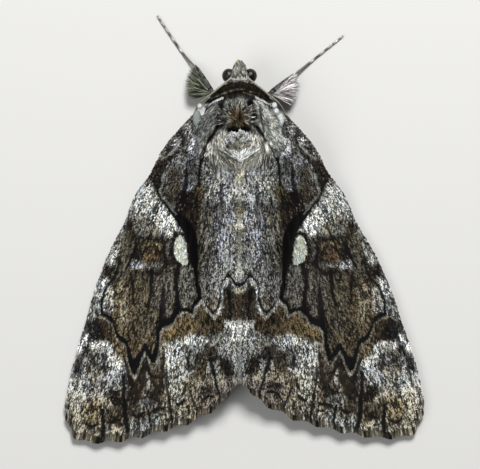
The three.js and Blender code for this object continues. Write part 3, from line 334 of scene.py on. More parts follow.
# Streaks: colour, strength, and a line of points with the streak's half width at each.
STREAKS = [
    # Along the fold: the wing's own black streak, deepened by painted shadow where the raised root casts
    # shade on the leading part.
    (BLACK, 1.0, [(157, 190, 1.1), (163, 201, 1.5), (170, 209, 2.4), (179, 218, 4.6), (187, 228, 6),
        (192, 240, 4.8), (193.5, 252, 4.2), (194, 262, 3.2), (196, 276, 1.6), (199, 290, 1.6),
        (199, 302, 1.4)]),
    (BLACK, 0.8, [(171, 157, 0.7), (168, 172, 0.8), (164, 186, 0.8), (161, 196, 0.8)]),
    # Painted shade along the fold beside the ridge.
    (BLACK, 0.85, [(207, 143, 1.2), (203, 152, 1.3), (200, 170, 1.2), (199, 186, 0.9)]),
    # A dark line in the fold's valley: partly the wing's own mark, partly painted shade.
    (BLACK, 0.7, [(187, 164, 1), (186, 178, 1.2), (185, 188, 2), (182, 202, 2.4)]),
    (PALE, 0.6, [(192, 133, 0.7), (188, 139, 0.8), (185, 144, 0.8), (185, 150, 0.6)]),
    (PALE, 0.6, [(170, 166, 0.6), (168, 175, 0.8), (166, 184, 0.6)]),
    (BLACK, 0.4, [(221, 184, 1), (222, 198, 2.2), (223, 212, 2.8), (220, 228, 2)]),
    (PALE, 0.8, [(161, 160, 1.2), (172, 152, 1.2), (178, 146, 1)]),
    (CREAM, 0.45, [(240, 170, 0.6), (240, 226, 0.8), (240, 276, 0.6)]),
    (TAN, 0.6, [(236, 203, 0.8), (235, 210, 1.2), (238, 214, 0.8)]),
    (BROWN, 0.6, [(232, 226, 0.8), (236, 231, 1), (241, 230, 1)]),
    (PALE, 0.75, [(164, 178, 1), (160, 192, 1.2), (164, 200, 1.2), (176, 214, 1)]),
    (BLACK, 0.85, [(136, 246, 1.5), (132, 258, 1.6), (126, 268, 1.2)]),
    (CREAM, 0.35, [(140, 252, 0.3), (143, 246, 0.5), (149, 243, 0.6), (156, 244, 0.6), (160, 248, 0.4)]),
    (CREAM, 0.3, [(148, 256, 0.4), (150, 252, 0.5), (154, 252, 0.5)]),
    (UMBER, 0.8, [(142, 258, 0.8), (142, 252, 0.9), (145, 248, 0.8), (150, 246, 0.8), (156, 247, 0.8),
        (160, 252, 0.9), (160, 259, 0.8)]),
    (UMBER, 0.6, [(138, 253, 0.8), (140, 246, 0.9), (146, 240, 0.8), (155, 239, 0.8), (163, 244, 0.9)]),
    (CREAM, 0.4, [(146, 265, 0.3), (152, 267, 0.4), (156, 265, 0.4), (159, 269, 0.4), (164, 267, 0.3)]),
    (BLACK, 0.6, [(164, 247, 1), (165, 256, 1.6), (164, 266, 1.6), (158, 274, 2), (146, 272, 1.4)]),
    (BLACK, 0.75, [(178, 264, 1.8), (176, 280, 2), (179, 306, 2.2)]),
    (BLACK, 0.7, [(152, 276, 1.8), (151, 292, 1.8), (148, 306, 1.2)]),
    (BLACK, 0.7, [(131, 276, 1.2), (133, 290, 1.2), (134, 304, 0.9)]),
    (BLACK, 0.65, [(163, 290, 1.6), (162, 306, 2.4), (162, 322, 3)]),
    (BLACK, 0.8, [(120, 262, 1.2), (114, 278, 1.2), (106, 286, 1.2), (101, 302, 1.3)]),
    # the black zigzag
    (BLACK, 1.0, [(101, 300, 1), (102, 315, 1.6), (110, 318, 2), (113, 326, 2), (119, 337, 2.2),
        (125, 343, 2.2), (128, 354, 2.6), (134, 370, 4), (139, 358, 2.4), (145, 346, 2), (150, 355, 2.6),
        (154, 362, 2.2), (157, 350, 2), (159, 333, 2.2), (163, 324, 3), (171, 321, 2.6), (174, 315, 2),
        (180, 309, 2.2), (187, 311, 2), (193, 312, 2), (195, 304, 1.6), (199, 298, 1.2), (203, 303, 0.8),
        (208, 310, 0.8), (213, 313, 0.8), (218, 308, 0.7), (220, 294, 0.7), (223, 281, 0.7), (229, 275, 0.8),
        (234, 282, 1.2), (242, 287, 1.6)]),
    # its pale outer edge
    (BEIGE, 0.85, [(99, 318, 0.8), (108, 322, 0.8), (112, 325, 0.9), (116, 339, 1), (119, 343, 1.2),
        (124.5, 347, 1), (127, 362, 0.8), (131, 374, 0.9), (134, 379, 1), (138, 376, 0.9), (142, 359, 0.9),
        (144.5, 353, 1.2), (148, 359, 1), (152, 369, 0.9), (156, 368, 0.9), (159.5, 350, 0.8), (161, 333, 1),
        (166, 328, 1.5), (174, 325, 1.3), (176, 319, 1.2), (183, 313, 1.3), (188, 315, 1.3),
        (193, 317, 1.3)]),
    (WHITE, 0.7, [(193, 317, 1.2), (197, 306, 1.3), (201, 302, 2), (205, 310, 1.2), (213, 318, 2),
        (219, 313, 1), (221, 305, 0.9), (222, 290, 0.8), (225, 283, 1.6), (230, 281, 1.6)]),
    (CREAM, 0.7, [(232, 287, 1), (236, 291, 2), (242, 292, 2.4)]),
    (BLACK, 0.7, [(226, 291, 1.2), (229, 293, 1.6), (230, 300, 1)]),
    # the white kidney mark
    (CHALK, 1.0, [(179.5, 237, 1.5), (179.7, 240, 4), (180, 247, 6.2), (180.2, 253, 6.9),
        (182, 259, 6.2), (184, 262, 4.4)]),
    # the brown double point behind the zigzag
    (BROWN, 0.9, [(124, 360, 1.4), (128, 374, 2), (134, 390, 3), (137, 398, 3), (141, 386, 2.4),
        (146, 366, 2), (150, 376, 1.8), (155, 385, 2), (159, 388, 2), (162, 372, 1.8), (163, 356, 1.4)]),
    (WHITE, 0.5, [(146, 374, 0.7), (146.5, 384, 1.4), (146, 396, 0.8)]),
    # dark and pale marks of the outer part
    (UMBER, 0.8, [(131, 380, 1.2), (133, 388, 1.2), (138, 380, 1), (144, 366, 1), (150, 376, 1.6),
        (158, 378, 1.2)]),
    (BLACK, 0.85, [(123, 376, 1.6), (124, 396, 2.2), (125, 416, 2.2), (128, 436, 1.6)]),
    (BLACK, 0.85, [(103, 410, 1.4), (103, 426, 1.8), (102, 440, 1.8)]),
    (BLACK, 0.55, [(104, 358, 2), (105, 372, 1.6)]),
    (BLACK, 0.7, [(146, 380, 1.8), (146, 394, 1.2)]),
    (BLACK, 0.85, [(148, 410, 1), (150, 420, 1.4), (150, 432, 1.2)]),
    (BLACK, 0.75, [(166, 372, 1.2), (167, 388, 1), (170, 404, 1.2), (173, 422, 1.1)]),
    (BLACK, 0.6, [(187, 360, 2), (189, 372, 1.6)]),
    (BLACK, 0.75, [(191, 394, 1.1), (194, 404, 1.1), (199, 416, 1.1)]),
    (BLACK, 0.75, [(211, 360, 1.2), (215, 378, 1.4), (220, 396, 1.1)]),
    (BLACK, 0.7, [(230, 280, 0.8), (228, 292, 2), (230, 304, 1.4), (231, 316, 1)]),
    # lunules along the hind margin
    (UMBER, 0.95, [(85, 424, 0.8), (92, 428, 1.8), (99, 424, 0.8)]),
    (UMBER, 0.95, [(108, 424, 0.9), (114, 421, 2.2), (120, 421, 1)]),
    (UMBER, 0.95, [(132, 416, 1), (138, 417, 2), (145, 412, 1)]),
    (UMBER, 0.9, [(154, 411, 1), (160, 409, 1.6), (166, 407, 0.8)]),
    (UMBER, 0.9, [(178, 406, 1.6), (184, 402, 1.6)]),
    (UMBER, 0.9, [(203, 399, 1), (208, 396, 1.8), (214, 396, 0.9)]),
]


def smooth(low, high, value):
    """A soft step from 0 at low to 1 at high."""
    share = np.clip((value - low) / (high - low), 0.0, 1.0)
    return share * share * (3.0 - 2.0 * share)


def mix(a, b, share):
    return a + (b - a) * share


def noise(x, y, seed, size=256):
    """Smooth noise from 0 to 1 with features one unit wide."""
    grid = np.random.RandomState(seed).rand(size, size)
    column, row = np.floor(x).astype(int), np.floor(y).astype(int)
    across, down = smooth(0, 1, x - column), smooth(0, 1, y - row)

    def line(j):
        ends = [grid[(row + j) % size, (column + i) % size] for i in (0, 1)]
        return ends[0] * (1 - across) + ends[1] * across

    return line(0) * (1 - down) + line(1) * down


def line_distance(x, y, line):
    """Distance to a line of points and, where the points carry widths, the width at the nearest place."""
    best = np.full(x.shape, 1e9)
    width = np.zeros(x.shape)
    for a, b in zip(line[:-1], line[1:]):
        run, rise = b[0] - a[0], b[1] - a[1]
        share = np.clip(((x - a[0]) * run + (y - a[1]) * rise) / (run * run + rise * rise), 0, 1)
        distance = np.hypot(x - a[0] - share * run, y - a[1] - share * rise)
        nearer = distance < best
        best = np.where(nearer, distance, best)
        if len(a) > 2:
            width = np.where(nearer, mix(a[2], b[2], share), width)
    return best, width


def inside(x, y, outline):
    """Which places lie inside a closed outline."""
    crossings = np.zeros(x.shape, bool)
    for a, b in zip(outline, outline[1:] + outline[:1]):
        spans = (a[1] > y) != (b[1] > y)
        if a[1] != b[1]:
            crossings ^= spans & (x < (b[0] - a[0]) * (y - a[1]) / (b[1] - a[1]) + a[0])
    return crossings


def plain(tint, count):
    return np.tile(tint, (count, 1))


def blend(colours, tint, amount):
    return colours + (tint - colours) * amount[:, None]


def painted(colours, patches, streaks, at, streaks_at, amount=1.0):
    """Colours with markings and painted shade over them at places in dots, and how far streaks cover each
    place.
    """
    for tint, strength, edge, outline in patches:
        distance, _ = line_distance(*at, outline + outline[:1])
        signed = np.where(inside(*at, outline), distance, -distance)
        colours = blend(colours, tint, amount * strength * smooth(-edge / 2, edge / 2, signed))
    covered = np.zeros(len(colours))
    for tint, strength, line in streaks:
        distance, width = line_distance(*streaks_at, line)
        share = amount * strength * smooth(width + STREAK_EDGE, width - STREAK_EDGE, distance)
        colours = blend(colours, tint, share)
        covered = np.maximum(covered, share)
    return colours, covered


def wing_colours(x, y):
    """Colours of the forewing at places in dots, and how far the speckle of single scales is held back."""
    swings = [noise(x / WANDER["x"], y / WANDER["y"], seed) - 0.5 for seed in (11, 12)]
    shift_x, shift_y = (swing * 2 * WANDER["reach"] for swing in swings)
    wandered, streaks_at = ((x + shift_x * share, y + shift_y * share) for share in (1, 0.5))
    return painted(plain(GREY, len(x)), PATCHES, STREAKS, wandered, streaks_at)


# ---------------------------------------------------------------- surfaces

def read(table, place):
    """Values at places along Y of a table of [place, value] rows, from high places to low."""
    rows = np.array(table, float)[::-1]
    return np.interp(place, rows[:, 0], rows[:, 1])


def unit(vectors):
    return vectors / np.maximum(np.linalg.norm(vectors, axis=-1, keepdims=True), 1e-12)


def spline(points, steps=24):
    """A smooth line through points, as a dense row of places."""
    p = np.array(points, float)
    last = len(p) - 1
    t = np.linspace(0, last, last * steps + 1)
    i = np.minimum(t.astype(int), last - 1)
    f = (t - i)[:, None]
    before, a, b, after = p[np.maximum(i - 1, 0)], p[i], p[i + 1], p[np.minimum(i + 2, last)]
    v, w = (b - before) / 2, (after - a) / 2
    return (2 * a - 2 * b + v + w) * f**3 + (3 * b - 3 * a - 2 * v - w) * f**2 + v * f + a


def reaches(line):
    """How far each point of a line lies along it."""
    return np.r_[0, np.cumsum(np.linalg.norm(np.diff(line, axis=0), axis=1))]


def along(line, share):
    """Places at shares of a line's length."""
    reach = reaches(line)
    at = np.asarray(share) * reach[-1]
    return np.stack([np.interp(at, reach, line[:, k]) for k in range(line.shape[1])], -1)


def plan_patch(plan, veins, scallop):
    """Plan places at shares u, from root to margin, and v, from midline to tip."""
    base, costa, margin = (spline(plan[k]) for k in ("base", "costa", "margin"))
    inner = np.vstack([spline(plan["inner"]), [plan["inner_end"]]])
    stops = np.array([0, *veins, 1])
    corners = base[0], base[-1], margin[0], margin[-1]

    def margin_at(v):
        after = np.clip(np.searchsorted(stops, v), 1, len(stops) - 1)
        share = (v - stops[after - 1]) / (stops[after] - stops[after - 1])
        dip = scallop * np.sin(np.pi * share) ** 2 * smooth(0, 0.1, v) * smooth(1, 0.93, v)
        ahead = unit(along(margin, v + 1e-3) - along(margin, v - 1e-3))
        return along(margin, v) + np.stack([-ahead[:, 1], ahead[:, 0]], -1) * dip[:, None]

    def place(u, v):
        p, q = u[:, None], v[:, None]
        edges = along(inner, u) * (1 - q) + along(costa, u) * q + along(base, v) * (1 - p) + margin_at(v) * p
        inner_corners = corners[0] * (1 - p) * (1 - q) + corners[2] * p * (1 - q)
        return edges - inner_corners - corners[1] * (1 - p) * q - corners[3] * p * q

    return place


def wing_height(x, y):
    """Height of the forewing's middle surface over plan places of the right-hand side."""
    out = np.clip(x / read([[b, a] for a, b in FOREWING_PLAN["costa"]], y), 0, 1.05)
    edge = EDGE_LOW + (EDGE_HIGH - EDGE_LOW) * smooth(*EDGE_RISE, y) ** 1.5
    roof = read(ROOF_HEIGHT, y)
    width = read(RIDGE_WIDTH, y)
    ridge = 1 - smooth(RIDGE_SHOULDER[0] * width, RIDGE_SHOULDER[1] * width, x)
    distance, _ = line_distance(x, y, FOLD_LINE)
    fold = FOLD_DEPTH * np.exp(-((distance / FOLD_WIDTH) ** 2))
    return edge + (roof - edge) * (1 - out**ROOF_CURVE) + (read(RIDGE_HEIGHT, y) - roof) * ridge - fold


def over_wing(x, y, lift):
    """Places a lift above the forewing's middle surface, square to it."""
    step = 0.05
    slope_x = (wing_height(x + step, y) - wing_height(x - step, y)) / (2 * step)
    slope_y = (wing_height(x, y + step) - wing_height(x, y - step)) / (2 * step)
    normal = unit(np.stack([-slope_x, -slope_y, np.ones_like(x)], -1))
    return np.stack([x, y, wing_height(x, y)], -1) + normal * np.broadcast_to(lift, x.shape)[:, None]


def spread_wing(points, side_name, side):
    """A wing's places on its own side, a little more or less spread and hanging than the plan."""
    moved = points.copy()
    outer = smooth(1, 4, moved[:, 0]) * smooth(*SPREAD_FADE, moved[:, 1])
    moved[:, 1] += HANG[side_name] * smooth(*HANG_FADE, moved[:, 1]) * smooth(0, 2, moved[:, 0])
    moved[:, 0] *= side * mix(1, SPREAD[side_name], outer)
    return moved


def seen_at(points):
    """Where places show in the straight view down, in dots from the view's corner."""
    nearer = CAMERA_HEIGHT / (CAMERA_HEIGHT - points[:, 2])
    flat = VIEW_CENTRE + (points[:, :2] - VIEW_CENTRE) * (nearer * (1 - 1 / CAMERA_HEIGHT))[:, None]
    return MIDLINE_DOT + flat[:, 0] / DOT, LEVEL_DOT - flat[:, 1] / DOT


def nearest_of(places, value):
    """Distance from values to the nearest of a few places."""
    return np.min([np.abs(value - place) for place in places], axis=0)


class Wing:
    """One wing's surfaces: v runs out from the midline and u from the root to the margin."""

    def __init__(self, plan, veins, side_name, drop=0.0, scallop=SCALLOP_DEPTH, ridge=VEIN_RISE):
        self.patch = plan_patch(plan, veins, scallop)
        self.veins, self.side_name, self.side = veins, side_name, SIDES[side_name]
        self.drop, self.ridge = drop, ridge

    def surface(self, lift):
        def place(u, v):
            xy = self.patch(u, v)
            thin = mix(1, 0.6, smooth(0.965, 1, u))
            vein = nearest_of(self.veins, v) / (VEIN_HALF_WIDTH / MARGIN_LENGTH)
            rise = np.exp(-(vein**2)) * smooth(*VEIN_START, u) * self.ridge
            pleat = 0.05 * (noise(u * 9, v * 26, 5) - 0.5)
            height = lift * thin + (rise + pleat) * np.sign(lift) - self.drop
            return spread_wing(over_wing(xy[:, 0], xy[:, 1], height), self.side_name, self.side)

        return place

    def dots(self, u, v):
        """Where these places of the wing show on a left wing."""
        xy = self.patch(u, v)
        points = spread_wing(over_wing(xy[:, 0], xy[:, 1], WING_THICKNESS / 2), "left", -1)
        return seen_at(points)


class Tube:
    """A tube through places with half widths and half heights: u runs along it and v once round it."""

    def __init__(self, line, half, rise=None, sweep=0.0, level=False):
        self.line, self.half = line, half
        self.rise = half if rise is None else rise
        self.shares = np.linspace(0, 1, len(line))
        self.sweep, self.level = sweep, level

    def centre(self, u):
        return np.stack([np.interp(u, self.shares, self.line[:, k]) for k in range(3)], -1)

    def surface(self, u, v):
        u = np.clip(u, 0, 1)
        centre = self.centre(u)
        if self.level:
            side, up = np.array([[1.0, 0, 0]]), UP
        else:
            before, after = (self.centre(np.clip(u + step, 0, 1)) for step in (-TUBE_STEP, TUBE_STEP))
            ahead = unit(after - before)
            side = unit(np.cross(ahead, UP) + 1e-9)
            up = np.cross(side, ahead)
        turn = v * 2 * np.pi
        half, rise = (np.interp(u, self.shares, size) for size in (self.half, self.rise))
        points = centre + side * (np.cos(turn) * half)[:, None] + up * (np.sin(turn) * rise)[:, None]
        points[:, 1] -= self.sweep * points[:, 0] ** 2 * smooth(*SWEEP_FADE, centre[:, 1])
        return points


def frames(surface, u, v, outward):
    """At shares of a surface: place, direction of u, direction out of the surface, direction across."""
    step = 1e-3
    u0, u1 = np.clip(u - step, 0, 1), np.clip(u + step, 0, 1)
    v0, v1 = v - step, v + step
    here = surface(u, v)
    lie = unit(surface(u1, v) - surface(u0, v))
    across = surface(u, v1) - surface(u, v0)
    normal = unit(np.cross(lie, across)) * outward
    return here, lie, normal, np.cross(lie, normal)


def cells(surface, u_range, v_range, row_step, spacing, rng):
    """Shares u and v of places spread evenly over a surface in jittered rows."""
    steps = 161
    v_fine = np.linspace(*v_range, steps)
    length = reaches(surface(np.linspace(*u_range, steps), np.full(steps, np.mean(v_range))))[-1]
    rows = max(2, int(length / row_step))
    us, vs = [], []
    for row in range(rows):
        u = mix(*u_range, (row + 0.5) / rows)
        reach = reaches(surface(np.full(steps, u), v_fine))
        count = max(3, int(reach[-1] / spacing))
        at = (np.arange(count) + rng.uniform(0.1, 0.9, count)) / count
        vs.append(np.interp(at * reach[-1], reach, v_fine))
        us.append(u + rng.uniform(-0.45, 0.45, count) * (u_range[1] - u_range[0]) / rows)
    return np.concatenate(us), np.concatenate(vs)


# ---------------------------------------------------------------- meshes

def add_piece(name, points, faces, material, colours, uvs=None, rounded=True, stands_for=()):
    """A mesh in the row frame from places in millimetres, with a colour at each point."""
    mesh = bpy.data.meshes.new(name)
    placed = (points - MIDDLE) * MM
    mesh.vertices.add(len(placed))
    mesh.vertices.foreach_set("co", placed.astype(np.float32).ravel())
    mesh.loops.add(faces.size)
    mesh.loops.foreach_set("vertex_index", faces.astype(np.int32).ravel())
    mesh.polygons.add(len(faces))
    mesh.polygons.foreach_set("loop_start", np.arange(0, faces.size, faces.shape[1], dtype=np.int32))
    mesh.update(calc_edges=True)
    mesh.polygons.foreach_set("use_smooth", np.full(len(faces), rounded))
    tint = mesh.color_attributes.new("Tint", "FLOAT_COLOR", "POINT")
    linear = np.clip(colours, 0, 1) ** 2.2
    tint.data.foreach_set("color", np.hstack([linear, np.ones((len(linear), 1))]).astype(np.float32).ravel())
    if uvs is not None:
        layer = mesh.uv_layers.new(name="OFBake")
        layer.data.foreach_set("uv", uvs[faces.ravel()].astype(np.float32).ravel())
    mesh.materials.append(material)
    piece = bpy.data.objects.new(name, mesh)
    bpy.context.scene.collection.objects.link(piece)
    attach(piece, "root")
    if stands_for:
        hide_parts(*stands_for)


def ring_faces(rings, count, start=0):
    """Quads between closed rings of points, with both ends closed by strips from side to side."""
    row = np.arange(count)
    after = (row + 1) % count
    wall = np.stack([row, count + row, count + after, after], -1)
    walls = [wall + k * count for k in range(rings - 1)]
    j = np.arange(count // 2 - 1)
    cap = np.stack([j, j + 1, count - 2 - j, count - 1 - j], -1)
    end = cap[:, ::-1] + (rings - 1) * count
    return np.vstack([*walls, cap, end]) + start


def rings_of(surface, us, vs):
    """Points of a surface in rings of fixed u."""
    grid_u, grid_v = np.meshgrid(us, vs, indexing="ij")
    return surface(grid_u.ravel(), grid_v.ravel()), grid_u.ravel(), grid_v.ravel()


# Shapes of a tuft from root to tip: points as shares of its length, width and lift, faces, and how much
# lighter than its colour the tip is painted, a painted highlight.
SCALE_FACES = np.array([[0, 2, 3], [0, 3, 1], [0, 4, 2], [0, 1, 4], [1, 3, 4], [2, 4, 3]])
FORMS = {
    "scale": (np.array([[0, 0, -0.35], [0.6, 0.5, 0.35], [0.6, -0.5, 0.35], [1, 0, 1.0], [0.45, 0, -0.3]]),
              SCALE_FACES, 1.05),
    "strand": (np.array([[0, 0, -0.2], [0.6, 0.5, 1], [0.6, -0.5, 1], [1, 0, 0], [0.45, 0, 0.6]]),
               SCALE_FACES, 1.1),
    "hair": (np.array([[0, 0.32, -0.2], [0, -0.32, -0.2], [0, 0, -0.5], [0.5, 0.5, 0.72], [0.5, -0.5, 0.72],
                       [0.5, 0, 0.42], [1, 0, 1.0]]),
             np.array([[0, 1, 4], [0, 4, 3], [1, 2, 5], [1, 5, 4], [2, 0, 3], [2, 3, 5], [3, 4, 6],
                       [4, 5, 6], [5, 3, 6], [0, 2, 1]]), 1.05),
}
PATCH = 0.0028  # how far a tuft's own patch reaches on the unwrap
UNWRAP_RIM = 0.01


def add_tufts(name, places, lie, normal, sizes, colours, unwrap, material, form="scale",
              root_shade=0.7):
    """A coat piece: a tuft at each place, lying in its direction, with its own patch on the skin's unwrap.

    The sizes are the tufts' length, width and lift, and root_shade is how dark the painted shade at a tuft's
    root is.
    """
    shape, faces, tip_highlight = FORMS[form]
    lie = unit(lie - normal * np.sum(lie * normal, axis=1, keepdims=True))
    axes = (lie, np.cross(normal, lie), normal)
    reach = [axis * np.broadcast_to(size, len(places))[:, None] for axis, size in zip(axes, sizes)]
    points = places[:, None] + sum(reach[k][:, None] * shape[None, :, k, None] for k in range(3))
    # Painted shade and highlight: each tuft is darker towards its root, where it lies under its neighbours,
    # and a little lighter at its tip.
    tint = colours[:, None] * mix(root_shade, tip_highlight, shape[:, 0])[None, :, None]
    corners = mix(UNWRAP_RIM, 1 - UNWRAP_RIM, unwrap)
    uvs = corners[:, None] + (shape[None, :, :2] - [[[0.5, 0]]]) * PATCH
    all_faces = (faces[None] + (np.arange(len(places)) * len(shape))[:, None, None]).reshape(-1, 3)
    add_piece(name, points.reshape(-1, 3), all_faces, material, tint.reshape(-1, 3),
              uvs=uvs.reshape(-1, 2), rounded=False)


def add_sheet(name, shape, sides, tints, material, turned):
    """A thin closed sheet in its node's place, from rows of points and colours of its two sides."""

    def joined(pair):
        upper, under = (rows.reshape(*shape, 3) for rows in pair)
        return np.concatenate([upper, under[:, ::-1]], axis=1).reshape(-1, 3)

    faces = ring_faces(shape[0], 2 * shape[1])
    add_piece(f"{name}_skin", joined(sides), faces[:, ::-1] if turned else faces, material,
              joined(tints), stands_for=[name])


# ---------------------------------------------------------------- materials

class Look:
    """A material in the making: a node's inputs are set to numbers or linked to other nodes' outputs."""

    def __init__(self, name):
        self.made = bpy.data.materials.new(name)
        self.made.use_nodes = True
        self.tree = self.made.node_tree

    def feed(self, node, inputs):
        for socket, value in inputs.items():
            if isinstance(value, bpy.types.NodeSocket):
                self.tree.links.new(value, node.inputs[socket])
            else:
                node.inputs[socket].default_value = value

    def add(self, kind, output, inputs):
        node = self.tree.nodes.new("ShaderNode" + kind)
        self.feed(node, inputs)
        return node.outputs[output]

    def finish(self, inputs):
        self.feed(self.tree.nodes["Principled BSDF"], inputs)
        return self.made

    def finish_tinted(self, amount, relief, inputs):
        """The Tint attribute times an amount as the base colour, and relief as the normal."""
        tint = self.tree.nodes.new("ShaderNodeAttribute")
        tint.attribute_name = "Tint"
        product = self.tree.nodes.new("ShaderNodeVectorMath")
        product.operation = "SCALE"
        self.feed(product, {"Vector": tint.outputs["Color"], "Scale": amount})
        return self.finish({"Base Color": product.outputs["Vector"], "Normal": relief, **inputs})


def shaded(name, roughness, grain, relief, variety=0.25, gloss=0.3):
    """A material with its colour from the Tint attribute, broken up by grain of a size in millimetres."""
    look = Look(name)
    place = look.add("TexCoord", "Object", {})
    fine = look.add("TexNoise", "Fac", {"Vector": place, "Scale": 1 / (grain * MM), "Detail": 3.0})
    amount = look.add("MapRange", "Result", {"Value": fine, "From Min": 0.3, "From Max": 0.7,
                                             "To Min": 1 - variety, "To Max": 1 + variety})
    rough = look.add("MapRange", "Result", {"Value": fine, "To Min": roughness - 0.12,
                                            "To Max": min(1, roughness + 0.12)})
    bump = look.add("Bump", "Normal", {"Height": fine, "Strength": 0.8, "Distance": relief * MM})
    return look.finish_tinted(amount, bump, {"Roughness": rough, "Specular IOR Level": gloss})


def faceted(name, lens_size):
    """The dark glossy cornea of a compound eye, with its many small lenses."""
    look = Look(name)
    place = look.add("TexCoord", "Object", {})
    lens = look.add("TexVoronoi", "Distance", {"Vector": place, "Scale": 1 / (lens_size * MM)})
    edge = look.add("MapRange", "Result", {"Value": lens, "From Max": 0.7, "To Min": 1.5, "To Max": 0.5})
    bump = look.add("Bump", "Normal", {"Height": lens, "Strength": 0.7, "Distance": 0.02 * MM})
    bump.node.invert = True
    return look.finish_tinted(edge, bump, {"Roughness": 0.3, "Specular IOR Level": 0.3})


wing_skin = shaded("wing_skin", 0.8, 0.12, 0.03, gloss=0.08)
wing_scale = shaded("wing_scale", 0.7, 0.07, 0.01, 0.2, 0.08)
hindwing_skin = shaded("hindwing_skin", 0.7, 0.12, 0.04, 0.3)
body_skin = shaded("body_skin", 0.8, 0.15, 0.04, gloss=0.1)
body_hair = shaded("body_hair", 0.65, 0.08, 0.01, 0.2, 0.12)
leg_skin = shaded("leg_skin", 0.6, 0.1, 0.03, 0.3)
horn = shaded("horn", 0.35, 0.1, 0.01, 0.25, 0.5)
cornea = faceted("cornea", 0.075)


# ---------------------------------------------------------------- wings

SKIN_LIFT = WING_THICKNESS / 2 - COAT
SCALE_SPACING = (0.125, 0.085)
SCALE_SIZE = ((0.272, 0.408), (0.12, 0.18), (0.07, 0.13))  # length, width and lift, each from and to
HINDWING_SCALE_SIZE = ((0.44, 0.605), (0.24, 0.33), (0.06, 0.1))
TIP_SHIFT = 0.004  # from a scale's root to the part of it that shows, as a share of the wing
COAT_END = 0.975  # share of the wing's length where its scales give way to the fringe
FRINGE_START = COAT_END - 0.006
FRINGE_SCALES = 2600
RIGHT_WING_PAINTED_SHADE = 0.1  # painted shade: how much the right wing is darkened across its middle, where it lies less in the light
PAINTED_SHADE_ROWS = ((230, 250), (376, 358))  # where that painted shade comes in and goes out, in dots
FLECKS = (0.11, 0.45)  # share of single scales that stand out, and how far they go towards tawny
SPECKLE = {"streaks": 2.6, "patches": 0.8, "own": 1.5}  # how strongly each darkens or lightens the scales
SPECKLE_STEPS = (190, 300)  # steps of the speckle across and along the wing
UNDER_BANDS = ((0.38, 0.05), (0.64, 0.055), (0.88, 0.07))  # place and half width of the underside's bands


def drawn(rng, count, *sizes):
    """A row of values from each range, one value for each tuft; a size that isn't a range stays as it is."""
    return [rng.uniform(*size, count) if np.ndim(size) else size for size in sizes]


def part_of(span, value):
    return (value - span[0]) / (span[1] - span[0])


def speckle(colours, calm, u, v, rng):
    """Each scale's own shade: dark and pale scales mixed, in short streaks along the wing."""
    flecks = FLECKS[1] * (rng.uniform(0, 1, len(u)) < FLECKS[0])
    colours = blend(colours, TAWNY, flecks * (1 - calm))
    x, y = v * SPECKLE_STEPS[0], u * SPECKLE_STEPS[1]
    streak = noise(x / 0.85, y / 2.6, 31) - 0.5
    patch = noise(x / 5, y / 9, 33) - 0.5
    own = rng.uniform(-0.5, 0.5, len(x))
    drift = streak * SPECKLE["streaks"] + patch * SPECKLE["patches"] + own * SPECKLE["own"]
    factor = np.clip(np.exp((1 - 0.75 * calm) * drift), 0.2, 2.2) * 0.87
    grey = colours.mean(axis=1, keepdims=True)
    mixed = mix(colours, grey, np.clip(0.6 * (factor - 1), 0, 0.3)[:, None]) * factor[:, None]
    cool = noise(x / 3, y / 7, 34) - 0.5 + rng.uniform(-0.5, 0.5, len(x))
    return mixed + np.outer(cool, [-0.06, 0.0, 0.1]) * mixed


def forewing_pieces(side_name, side):
    rng = np.random.RandomState(41 + side)
    name = f"forewing_{side_name}"
    wing = Wing(FOREWING_PLAN, FOREWING_VEINS, side_name)
    shape = (150, 150)
    us, vs = np.linspace(0, COAT_END + 0.012, shape[0]), np.linspace(0, 1, shape[1])
    surface = wing.surface(SKIN_LIFT)
    top, u, v = rings_of(surface, us, vs)
    bottom, _, _ = rings_of(wing.surface(COAT / 2 - WING_THICKNESS / 2), us, vs)
    tints = wing_colours(*wing.dots(u, v))[0] * 0.8, under_wing_colours(u, v)
    add_sheet(name, shape, (top, bottom), tints, wing_skin, side > 0)
    for half_name, v_range in (("inner", (0.0, 0.5)), ("outer", (0.5, 1.0))):
        u, v = cells(surface, (0.004, COAT_END), v_range, *SCALE_SPACING, rng)
        here, lie, normal, _ = frames(surface, u, v, side)
        x, y = wing.dots(np.minimum(u + TIP_SHIFT, 1), v)
        tints = speckle(*wing_colours(x, y), u, v, rng)
        # Painted shade: the right wing is darkened across its middle.
        if side > 0:
            coming, going = (smooth(*rows, y) for rows in PAINTED_SHADE_ROWS)
            tints *= 1 - RIGHT_WING_PAINTED_SHADE * (coming * going)[:, None]
        sizes = drawn(rng, len(u), *SCALE_SIZE)
        sway = rng.uniform(-0.25, 0.25, len(u))[:, None] * np.cross(normal, lie)
        unwrap = np.stack([part_of(v_range, v), u], -1)
        add_tufts(f"{name}_scales_{half_name}", here - lie * 0.15, lie + sway, normal, sizes, tints, unwrap,
                  wing_scale)
    fringe(name, wing, side, rng)


